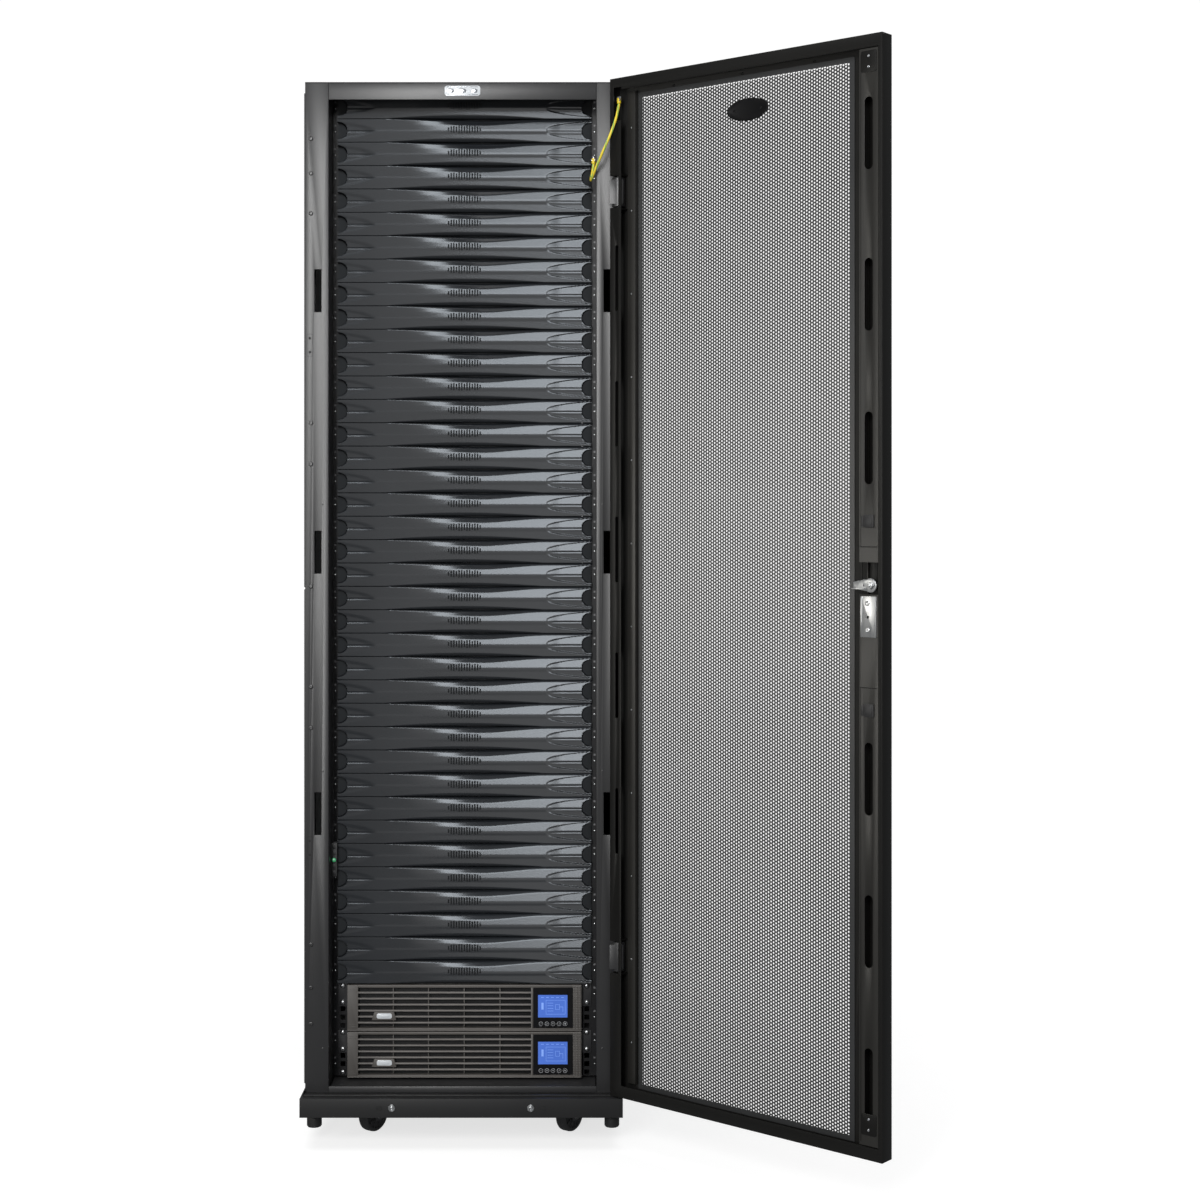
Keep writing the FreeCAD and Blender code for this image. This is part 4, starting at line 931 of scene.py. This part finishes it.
def screws():
    """Post screws, plinth screws with keyholes beside them, and rack screws."""
    parts = []
    for height in POST_SCREWS:
        for side in (-1, 1):
            if side < 0 or not HINGE_CLEAR[0] < height < HINGE_CLEAR[1]:
                parts.append(button_head(side * POST_SCREW_X, height, FRAME_FRONT, 4.2, 2.0))
    keyhole = (PLINTH_FRONT - 0.5, PLINTH_FRONT + 0.5)
    for side in (-1, 1):
        # The keyholes are flat near-black plates: painted shade for the openings.
        parts.append((plate(side * 151 - 4.2, side * 151 + 4.2, 76.4, 83.6, *keyhole, 3.4), 1))
        wedge = [(side * 155, -76), (side * 159.5, -80), (side * 155, -84)]
        parts.append((prism(wedge[::-side], *keyhole, "Y"), 1))
        collar = turned([(6.5, 0), (6.5, 0.8), (5.9, 1.5), (4.6, 1.5), (4.2, 0.5)], (0, 0, 0))
        parts.append((on_face(collar, side * PLINTH_SCREW_X, PLINTH_FRONT, PLINTH_SCREW_Z, 90), 2))
        parts.append((button_head(side * PLINTH_SCREW_X, PLINTH_SCREW_Z, PLINTH_FRONT - 0.2, 3.6, 1.2), 2))
    for unit in (1, 3):
        for hole in RACK_HOLES:
            for side in (-1, 1):
                parts += cross_head(side * RACK_HOLE_X, RACK_LOW + unit * UNIT + hole, RAIL_FRONT - 2)
    parts += cross_head(-RACK_HOLE_X, RACK_LOW + RACK_HOLES[0], RAIL_FRONT)
    build("screw_heads", parts, [POST, PAINTED_SHADE, ZINC], "cabinet", replaces=("frame_screws",))


def posts():
    """Front and rear posts with rounded folds, knockout outlines and rivets on the front face."""
    refined("corner_posts", POST, 1.6, "cabinet")
    parts = []
    # Knockout outlines and their round holes are thin near-black strips and discs: painted shade for the cuts.
    for x in (-KNOCKOUT_X, KNOCKOUT_X):
        for z in (1498, 556):
            for x0, x1, z0, z1 in strips(x - 5.6, x + 5.6, z - 21, z + 21, 0.48, 0.6):
                parts.append((cuboid(x0, x1, FRAME_FRONT - 0.12, FRAME_FRONT + 0.3, z0, z1), 1))
            for rise in (-13, 13):
                parts.append((turned([(2.4, -0.14), (2.4, 0.3)], (x, FRAME_FRONT, z + rise), "Y", 20), 1))
    for x in (-262, 262):
        for z in (1200, 700, 180):
            parts.append(turned([(1.6, -0.5), (2.0, -0.3), (2.0, 0.3)], (x, FRAME_FRONT, z), "Y", 16))
    build("post_knockouts", parts, [POST, PAINTED_SHADE], "cabinet")


def plinth():
    """Folded base with a stepped shoulder under the frame."""
    refined("base_plinth", POWDER, 1.2, "cabinet")
    high = span("base_plinth")[1]
    parts = [cuboid(6 - high.x, high.x - 6, sign * (high.y - 14), sign * (high.y - 22), high.z, high.z + 3)
             for sign in (-1, 1)]
    parts += [cuboid(sign * (high.x - 3), sign * (high.x - 4.6), 20 - high.y, high.y - 20, high.z, high.z + 6)
              for sign in (-1, 1)]
    build("plinth_shoulder", parts, POWDER, "cabinet", bevel=0.7)


def frame_work():
    """Header, sills, braces, floor, roof and side panels, with their latches, ports and rivets."""
    for node, coat, width in (("frame_members", POST, 1.0), ("floor_pan", POWDER, 0.5),
                              ("roof_panel", POWDER, 0.8), ("side_panels", POWDER, 1.0)):
        refined(node, coat, width, "cabinet")
    side_latches()
    side_swages()
    roof_ports()
    rail_dots()


def side_latches():
    """Quarter-turn latches in the side panels: a dished ring with a slotted key plug."""
    dish = turned([(11, -2.5), (11, 0.6), (10, 1.4), (7.2, 1.4), (6.6, 0.2), (5.8, 0.2), (5.4, 1), (0.4, 1)],
                  (0, 0, 0), sides=36)
    # The key slot is a thin near-black bar: painted shade for the slot.
    slit = cuboid(-0.7, 0.7, -4.2, 4.2, 0.6, 1.1)
    parts = []
    for side in (-1, 1):
        outward = Matrix.Rotation(side * math.radians(90), 4, "Y")
        for _, top in SIDE_PANELS:
            for end in (-360, 360):
                spot = Matrix.Translation((side * SIDE_SKIN, end, top - 60)) @ outward
                parts += [moved(dish, spot), (moved(slit, spot), 1)]
    build("side_latch_plugs", parts, [PLASTIC, PAINTED_SHADE], "cabinet",
          replaces=("side_panel_latches",))


def side_swages():
    """A raised line round each half of the side panels, and a strip behind the seam between the halves."""
    parts = []
    for side in (-1, 1):
        x = side * SIDE_SKIN
        for low, high in SIDE_PANELS:
            for y0, y1, z0, z1 in strips(-486, 486, low + 12, high - 12, 1.6, 1.6):
                parts.append(cuboid(x, x + side * 0.35, y0, y1, z0, z1))
        parts.append(cuboid(side * 290, side * 296.8, -486, 486, 1039.5, 1044.5))
    build("side_panel_swage", parts, POWDER, "cabinet", bevel=0.12)


def roof_ports():
    """Brush strips in the two roof ports: a flanged rim and two rows of bristle tufts that meet."""
    low, high = span("roof_brushes")
    parts = []
    for end in (-250, 250):
        for y0, y1, x0, x1 in strips(end - 45, end + 45, -150, 150, 10, 10):
            parts.append(cuboid(x0, x1, y0, y1, low.z, high.z))
        for step in range(93):
            sway = 0.5 * math.sin(step * 2.1)
            x = -139 + step * 3.0 + sway * 0.2
            under, over = 1986.6 + 0.5 * math.cos(step * 1.7), 1989.6 + 0.4 * math.sin(step * 0.9)
            for sign in (-1, 1):
                y0, y1 = end + sign * 35.5, end + sign * 0.4 + sway * 0.6
                parts.append((cuboid(x - 1.15, x + 1.15, y0, y1, under, over), 1))
    build("roof_brush_strips", parts, [PLASTIC, BRISTLE], "cabinet", bevel=0.3,
          replaces=("roof_brushes",))


def rail_dots():
    """A small bright rivet for each rack unit, and a raised plain mark over it."""
    parts = []
    for x in (-247.3, 247.3):
        for unit in range(UNITS):
            z = RACK_LOW + (unit + 0.5) * UNIT
            rivet = turned([(0.8, -0.7), (1.5, -0.3), (1.5, 0.3)], (x, RAIL_FRONT, z), "Y", 14)
            mark = cuboid(x - 1.8, x + 1.8, RAIL_FRONT - 0.15, RAIL_FRONT + 0.2, z + 10, z + 13.5)
            parts += [(rivet, 1), mark]
    build("rail_rivets", parts, [RAIL_MARK, ZINC], "cabinet")


def hinges():
    """Hinge barrels with knuckle rings and pin heads on the frame, and covers in front of the front ones."""
    refined("hinge_brackets", POST, 0.6, "cabinet")
    cap = turned([(4.0, 0), (5.4, 0.2), (5.4, 1.6), (4.4, 2.4), (0.5, 2.6)], (0, 0, 0), sides=24)
    parts = []
    for x, y in ((REAR_PIVOT, -REAR_LINE), (REAR_PIVOT, REAR_LINE), (-REAR_PIVOT, REAR_LINE)):
        for z in HINGE_HEIGHTS:
            for end in (-1, 1):
                flip = Matrix.Scale(end, 4, (0, 0, 1))
                parts.append(moved(cap, Matrix.Translation((x, y, z + end * 34)) @ flip))
            if y < 0:
                parts.append(plate(x - 17, x + 9, z - 23, z + 23, y - 11, y - 7.5, 2.5))
            parts.append(turned([(11.2, -27), (11.7, -26.5), (11.7, 26.5), (11.2, 27)], (x, y, z), sides=40))
            for ring in (z - 9, z + 9):
                parts.append(turned([(9, -0.5), (9.35, -0.3), (9.35, 0.3), (9, 0.5)], (x, y, ring), sides=36))
    build("hinge_covers", parts, POST, "cabinet", bevel=0.6)


def header_badge():
    """Plain pale nameplate: a rounded plate with two border lines and three plain bars."""
    low, high = span("header_badge")
    middle = (low.z + high.z) / 2
    parts = [plate(low.x, high.x, low.z, high.z, low.y + 0.4, high.y, 5)]
    for z in (high.z - 2.1, low.z + 2.1):
        parts.append((cuboid(low.x + 4, high.x - 4, low.y, low.y + 1, z - 0.5, z + 0.5), 1))
    for x, half in ((-22, 6), (0, 7), (22, 6)):
        parts.append((plate(x - half, x + half, middle - 4, middle + 4, low.y, low.y + 1, 3.2), 1))
    build("header_nameplate", parts, [BADGE, BADGE_LINE], "cabinet", bevel=0.3,
          replaces=("header_badge",))


def spirit_level():
    """Black holder with a round green bubble level in its middle."""
    low, high = span("spirit_level")
    x, middle = (low.x + high.x) / 2, (low.z + high.z) / 2
    at = (x, low.y, middle)
    # The green vial glows: painted light, as a bubble level gives off none.
    parts = [plate(low.x, high.x, low.z, high.z, low.y + 3, high.y, 2.5),
             turned([(3.8, 0.6), (3.9, 0), (4.9, 0), (4.9, 0.2), (4.5, 0.8), (4.5, 3)], at, "Y", 36),
             (turned([(0.3, 0.05), (1.6, 0.1), (3.7, 0.45), (3.9, 0.9)], at, "Y", 32), 1),
             (turned([(0.2, -0.08), (1.0, -0.05), (1.5, 0.02), (1.4, 0.2)], (x - 0.6, low.y, middle + 0.5),
                     "Y", 24), 2)]
    for z in (middle - 12, middle + 12, middle - 24, middle + 24):
        parts.append(plate(x - 3.4, x + 3.4, z - 3.6, z + 3.6, low.y + 2.6, low.y + 3.4, 1))
    build("spirit_level_holder", parts, [PLASTIC, VIAL_PAINTED_GLOW, BADGE], "cabinet", bevel=0.25,
          replaces=("spirit_level",))


# ---------------------------------------------------------------- castors and feet

AXLE_Z = 32.0
# One side of the tyre's outline from the hub out, as (radius, distance from the middle)
TREAD = ((5, 9.8), (13, 10.2), (14, 8.2), (24, 8.2), (25.5, 10.6), (29.5, 10.9), (31.4, 8.6), (32, 5),
         (32, 1.2))
PAD_TALL = 20.0


def castor(name):
    """Swivel castor: pressed fork with a bearing ring, axle nuts and a ribbed wheel."""
    pivot = Vector(JOINTS[f"{name}_turn"]["pos_m"]) / MM
    ahead = Vector(JOINTS[f"{name}_roll"]["pos_m"]) / MM - pivot
    trail = math.hypot(ahead.x, ahead.y)
    turn = Matrix.Rotation(math.atan2(ahead.y, ahead.x), 4, "Z")
    matrix = Matrix.Translation((pivot.x, pivot.y, 0)) @ turn
    outline = [(trail - 9, -22), (trail + 9, -22), (trail + 9, -40), (15, -74), (15, -84), (-14, -84),
               (-14, -74), (trail - 10, -42)]
    parts = []
    for side in (-1, 1):
        parts.append(prism(outline, *sorted((side * 12, side * 15)), "Y"))
        nut = [(radius, side * out) for radius, out in ((6.5, 0), (6.5, 1.4), (4.2, 3.0), (1, 3.2))][::side]
        parts.append((turned(nut, (trail, side * 15, AXLE_Z), "Y", 6), 1))
    parts.append(turned([(20, 71), (25, 73), (26, 76), (26, 80), (24.5, 81.5), (24.5, 84), (26, 85.5),
                         (26, 88), (24, 88.5)], (0, 0, 0), sides=48))
    parts.append((turned([(6, 84), (6, 94.5)], (0, 0, 0), sides=24), 1))
    build(f"{name}_yoke", parts, [CASTOR, STEEL], f"{name}_swivel", bevel=0.5,
          replaces=(f"{name}_fork",), matrix=matrix)
    tread = [(radius, -out) for radius, out in TREAD] + [(31.2, 0)] + list(TREAD[::-1])
    wheel = [turned(tread, (trail, 0, AXLE_Z), "Y", 64)]
    for step in range(10):
        spin = Matrix.Translation((trail, 0, AXLE_Z)) @ Matrix.Rotation(2 * math.pi * step / 10, 4, "Y")
        wheel += [moved(cuboid(12.5, 25.5, side * 7.5, side * 10.2, -0.9, 0.9), spin) for side in (-1, 1)]
    build(f"{name}_tyre", wheel, RUBBER, f"{name}_roller", smooth=28,
          replaces=(f"{name}_wheel",), matrix=matrix)


def levelling_foot(name):
    """Threaded stem with a lock nut and a ribbed round pad."""
    low, high = span(name)
    at = ((low.x + high.x) / 2, (low.y + high.y) / 2, low.z)
    pad = [(9, 0), (12.5, 0.5), (14, 3), (14, PAD_TALL - 4), (12.8, PAD_TALL - 1.5), (8, PAD_TALL)]
    parts = [turned(pad, at, sides=48)]
    rib = cuboid(13.2, 14.0, -0.5, 0.5, 2.6, PAD_TALL - 3.6)
    for step in range(24):
        parts.append(moved(rib, Matrix.Translation(at) @ Matrix.Rotation(2 * math.pi * step / 24, 4, "Z")))
    base = PAD_TALL + 6
    nut = turned([(9, PAD_TALL), (9.8, PAD_TALL + 1), (9.8, base - 1), (9, base)], at, sides=6)
    thread = []
    for turn in range(int((high.z - low.z - base) / 2)):
        thread += [(5.3, base + turn * 2), (5.95, base + turn * 2 + 1)]
    stem = turned(thread + [(5.3, high.z - low.z)], at, sides=28)
    build(f"{name}_pad", parts + [(nut, 1), (stem, 1)], [RUBBER, STEEL], name,
          replaces=(name,))


# ---------------------------------------------------------------- front door

SKIN = -15.0
INNER = 15.0
MESH_Y = (-13.5, -12.5)
WINDOW = (-502.0, -46.0, 123.0, 1956.0)
HOLE_PITCH = 6.2
HOLE_ACROSS = 3.65
MESH_STRIPS = 8
LOCK_X = -556.0
LOCK_Z = 1065.0
LEAF_HALF = 30.5
OVAL_CENTRE = (-287.0, 1902.0)
OVAL_HALVES = (45.0, 20.0)
# Rings of the oval plate from its rim inwards: share of its size, distance behind the mesh
OVAL_RINGS = ((0.88, 1.1), (0.9, 1.7), (0.96, 2.0), (1.0, 1.4), (1.0, 0))


def front_mesh():
    """Perforated sheet in upright strips, framed by a plain border."""
    x0, x1, z0, z1 = WINDOW
    column = HOLE_PITCH * math.sqrt(3) / 2
    count = int((x1 - x0) / column / MESH_STRIPS / 2) * 2 + 2
    for strip in range(MESH_STRIPS):
        low = x0 - 4 + strip * count * column
        high = min(low + count * column, x1 + 4)
        points, quads = perforated((low, z0 - 4), (high + 0.01, z1 + 4), *MESH_Y, HOLE_PITCH, HOLE_ACROSS)
        name = f"front_mesh_{strip + 1}"
        place(name, quad_mesh(name, points, quads, DOOR), MESH_COAT, "front_door", smooth=30,
              replaces=("front_door_mesh",))
    border("front_mesh_border", WINDOW, MESH_Y, DOOR, "front_door")


def border(name, window, depth, matrix, body):
    """Plain margin round a perforated sheet."""
    x0, x1, z0, z1 = window
    parts = [cuboid(a0, a1, depth[0], depth[1] + 0.15, b0, b1)
             for a0, a1, b0, b1 in strips(x0 - 8, x1 + 8, z0 - 8, z1 + 8, 9, 9)]
    build(name, parts, MESH_COAT, body, matrix=matrix)


def front_door():
    """Folded door with its mesh, stiffeners, oval plate, lock, handle and cam."""
    refined("front_door_pan", DOOR_COAT, 0.5, "front_door")
    refined("front_door_channels", CHANNEL_COAT, 0.5, "front_door")
    front_mesh()
    oval_plate()
    door_fittings()
    lock_plates()
    swing_handle()
    latch_cam()


def oval_plate():
    """Plain oval backing plate behind the mesh, with a raised rim and two fixings."""
    x, z = OVAL_CENTRE
    back = MESH_Y[1]
    parts = [skin([[(x + OVAL_HALVES[0] * scale * right, back + out, z + OVAL_HALVES[1] * scale * up)
                    for right, up in circle(64)] for scale, out in OVAL_RINGS])]
    parts += [turned([(3, back + 1), (3, back + 1.7), (2.2, back + 2.0)], (x + side * 28, 0, z), "Y", 20)
              for side in (-1, 1)]
    build("oval_plate", parts, BADGE_DARK, "front_door", replaces=("front_door_badge",),
          matrix=DOOR)


def door_fittings():
    """Clips, bumpers, rivets, step lines and hinge leaves on the inside of the door."""
    parts = []
    for z in (1173, 855):
        parts.append((plate(-566, -546, z - 11, z + 11, INNER - 1, INNER + 2.2, 2), 1))
        parts.append((cuboid(-562, -550, INNER + 2, INNER + 2.8, z - 8, z + 8), 1))
        parts.append((cuboid(-545, -541, INNER - 1, INNER + 1.2, z - 9, z + 9), 1))
    for z, end in ((1130, 1958), (893, 130)):
        parts.append(cuboid(-572, -538.5, INNER - 0.2, INNER + 0.6, z - 0.8, z + 0.8))
        parts.append(cuboid(-540.4, -539.4, INNER - 0.2, INNER + 0.5, z, end))
    for z in (1945, 160):
        parts.append(plate(-571, -541, z - 18, z + 18, INNER, INNER + 1.4, 3))
        parts += [(button_head_back(-556, z + rise, INNER + 1.2, 2.4, 1.2), 2) for rise in (9, -9)]
    for z in np.linspace(200, 1900, 12):
        parts.append((turned([(1.9, -5.0), (1.6, -4.2), (0.6, -3.9)], (-27, 0, z), "Y", 16), 2))
    for x in (-120, -274, -428):
        parts += [button_head_back(x, z, SKIN + 1.5, 3.0, 1.4) for z in (114, 1967)]
    parts.append(cuboid(-524.8, -523.2, SKIN + 1.5, SKIN + 2.6, 135, 1955))
    for z in HINGE_HEIGHTS:
        parts.append(cuboid(-13, 7.8, SKIN, SKIN + 2.5, z - LEAF_HALF, z + LEAF_HALF))
    build("front_door_fittings", parts, [DOOR_COAT, PLASTIC, STEEL], "front_door",
          bevel=0.25, matrix=DOOR)


def lock_plates():
    """Zinc plate inside the door with two screws and a hole, and the dished handle base outside."""
    parts = [plate(-571, -541, 978, 1047, INNER, INNER + 2, 1.2),
             cuboid(-543, -541, INNER + 1.5, INNER + 2.8, 979, 1046)]
    parts += [button_head_back(LOCK_X + 2, z, INNER + 1.9, 4.4, 0.8) for z in (990, 1035)]
    # The hole and the key slot are near-black: painted shade for the openings.
    parts.append((turned([(2.6, INNER + 1), (2.6, INNER + 2.06)], (LOCK_X + 1, 0, 1012), "Y", 20), 1))
    parts.append((dished_plate(-574, -538, 900, 1095, SKIN - 4, SKIN, 8, 5), 2))
    parts.append(turned([(9.5, SKIN - 8), (10.5, SKIN - 7), (10.5, SKIN - 1)], (LOCK_X, 0, 1078), "Y", 36))
    parts.append((cuboid(LOCK_X - 0.7, LOCK_X + 0.7, SKIN - 8.1, SKIN - 7, 1074, 1082), 1))
    build("lock_plates", parts, [ZINC, PAINTED_SHADE, PLASTIC], "front_door", bevel=0.35,
          replaces=("front_lock_plates",), matrix=DOOR)


def dished_plate(x0, x1, z0, z1, y0, y1, radius, rim):
    """A flat floor inside a raised, rounded rim."""
    outer = rounded(x0, x1, z0, z1, radius)
    inner = rounded(x0 + rim, x1 - rim, z0 + rim, z1 - rim, max(radius - rim, 1))
    return skin([[(x, y, z) for x, z in outline]
                 for outline, y in ((outer, y1), (outer, y0), (inner, y0), (inner, y1 - 1.0))])


def swing_handle():
    """Swing handle outside the door: a waisted grip on a round pivot, with its spindle."""
    rings = []
    for share in np.linspace(0, 1, 25):
        wide = 8.2 + 3.8 * abs(2 * share - 1) ** 1.6
        front = -31 - 2.0 * math.sin(math.pi * share)
        middle, reach = (front - 20.5) / 2, (front + 20.5) / 2
        z = 915 + 168 * share
        rings.append([(LOCK_X + wide * right, middle + reach * up, z) for right, up in circle(16)])
    spindle = turned([(4.9, -21), (4.9, 13.5), (4.2, 14.2)], (LOCK_X, 0, LOCK_Z), "Y", 24)
    hub = turned([(10.5, -22), (11.5, -21.4), (11.5, -19.6)], (LOCK_X, 0, LOCK_Z), "Y", 40)
    build("swing_handle_grip", [skin(rings), (spindle, 1), hub], [PLASTIC, ZINC], "front_handle",
          bevel=0.3, replaces=("front_handle_lever",), matrix=DOOR)


def latch_cam():
    """Bent zinc cam on the spindle behind the door, held by a nut."""
    outline = [(LOCK_X + 26, LOCK_Z - 7), (LOCK_X + 34, LOCK_Z - 5), (LOCK_X + 34, LOCK_Z + 5),
               (LOCK_X + 26, LOCK_Z + 7)]
    outline = [(LOCK_X + 12 * math.cos(angle), LOCK_Z + 12 * math.sin(angle))
               for angle in np.linspace(math.radians(55), math.radians(305), 20)] + outline
    arm = prism([(x, -z) for x, z in outline[::-1]], 8, 11, "Y")
    fold = cuboid(LOCK_X + 8, LOCK_X + 33.5, 10.8, 17.7, LOCK_Z - 6.9, LOCK_Z - 4.8)
    lug = cuboid(LOCK_X - 9, LOCK_X + 13, 10.8, 13.2, LOCK_Z - 2, LOCK_Z + 10)
    nut = turned([(6.5, 11), (7.2, 11.8), (7.2, 15.2), (6.5, 16)], (LOCK_X, 0, LOCK_Z), "Y", 6)
    tip = turned([(3.4, 13), (3.4, 17.2), (2.6, 17.7)], (LOCK_X, 0, LOCK_Z), "Y", 20)
    build("latch_cam_plate", [arm, fold, lug, nut, tip], ZINC, "front_handle", bevel=0.35,
          replaces=("front_latch_cam",), matrix=DOOR)


# ---------------------------------------------------------------- rear doors

REAR_PITCH = 9.0
REAR_ACROSS = 6.6
REAR_WINDOW = (123, 1956)
SHEET_DEPTH = 1.3
KEY_Z = 1090.0


def rear_door(name, side):
    """Half-width door at the back: the folded pan from the CAD, with a perforated sheet in its window."""
    pan = frame["nodes"][name].data.copy()
    pan.materials.clear()
    work = bmesh.new()
    work.from_mesh(pan)
    bmesh.ops.remove_doubles(work, verts=work.verts, dist=1e-6)
    for island in islands(work):
        depths = [vert.co.y for vert in island]
        widths = [vert.co.x for vert in island]
        if max(depths) - min(depths) < SHEET_DEPTH * MM and max(widths) - min(widths) > 0.1:
            bmesh.ops.delete(work, geom=island, context="VERTS")
    bmesh.ops.dissolve_limit(work, angle_limit=math.radians(0.5), verts=work.verts, edges=work.edges)
    work.to_mesh(pan)
    work.free()
    place(f"{name}_pan", pan, POWDER, name, 0.6, 30, (name,))

    hinge = side * REAR_PIVOT
    near, far = hinge - side * 45, hinge - side * 245
    x0, x1 = sorted((near, far))
    z0, z1 = REAR_WINDOW
    y = REAR_LINE + 12.5
    points, quads = perforated((x0 - 4, z0 - 4), (x1 + 4, z1 + 4), y, y + 1, REAR_PITCH, REAR_ACROSS)
    mesh = quad_mesh(f"{name}_mesh", points, quads, Matrix.Identity(4))
    place(f"{name}_mesh", mesh, MESH_COAT, name, smooth=30, replaces=(name,))
    border(f"{name}_border", (x0, x1, z0, z1), (y - 0.15, y + 0.85), Matrix.Identity(4), name)
    outside = REAR_LINE + 15
    parts = [button_head_back(x, z, outside, 3.2, 1.4)
             for z in np.linspace(220, 1880, 9) for x in (near + side * 20, far - side * 20)]
    for z in HINGE_HEIGHTS:
        parts.append(cuboid(hinge + side * 7.8, hinge - side * 13, outside - 2.5, outside, z - LEAF_HALF,
                            z + LEAF_HALF))
    build(f"{name}_rivets", parts, POWDER, name)


def islands(work):
    """Lists of vertices that hang together."""
    left = set(work.verts)
    found = []
    while left:
        group, stack = [], [left.pop()]
        while stack:
            vert = stack.pop()
            group.append(vert)
            for edge in vert.link_edges:
                other = edge.other_vert(vert)
                if other in left:
                    left.remove(other)
                    stack.append(other)
        found.append(group)
    return found


def rear_handle():
    """Swing handle on the left rear door: a tapered grip with a round boss."""
    low, high = span("rear_handle_lever")
    x = (low.x + high.x) / 2
    outside = REAR_LINE + 15
    rings = []
    for share in np.linspace(0, 1, 13):
        wide = 6.2 + 2.8 * abs(2 * share - 1) ** 1.5
        z = low.z + (high.z - low.z) * share
        rings.append([(x + wide * right, outside + 11 + 5 * up, z) for right, up in circle(14)])
    boss = turned([(6, 0.4), (6.4, 1), (6.4, 7)], (x, outside, KEY_Z), "Y")
    plug = turned([(5.2, 15.8), (5.2, 16.6), (4.4, 17)], (x, outside - 1, KEY_Z), "Y", 28)
    build("rear_handle_grip", [skin(rings), boss, (plug, 1)], [PLASTIC, ZINC], "rear_handle",
          bevel=0.2, replaces=("rear_handle_lever",))


# ---------------------------------------------------------------- the whole object

def carried_over():
    """Procedural finishes on the CAD nodes that stay as they are."""
    finishes = {"rail_black": RAIL, "cabinet_black": POWDER, "chassis_steel": CASE}
    for entry in frame["record"]["subparts"]:
        item = frame["nodes"][entry["node"]]
        item.data.materials.clear()
        item.data.materials.append(finishes.get(entry["material_slot"], PLASTIC))


stage_and_light()
ground_wire()
carried_over()
plinth()
posts()
frame_work()
hinges()
header_badge()
spirit_level()
screws()
blanking_panels()
for supply in ("ups_lower", "ups_upper"):
    ups_front(supply)
    ups_display(supply)
    ups_buttons(supply)
    ups_case(supply)
front_door()
rear_door("rear_door_left", -1)
rear_door("rear_door_right", 1)
rear_handle()
for corner in ("front_left", "front_right", "rear_left", "rear_right"):
    castor(f"castor_{corner}")
    levelling_foot(f"foot_{corner}")
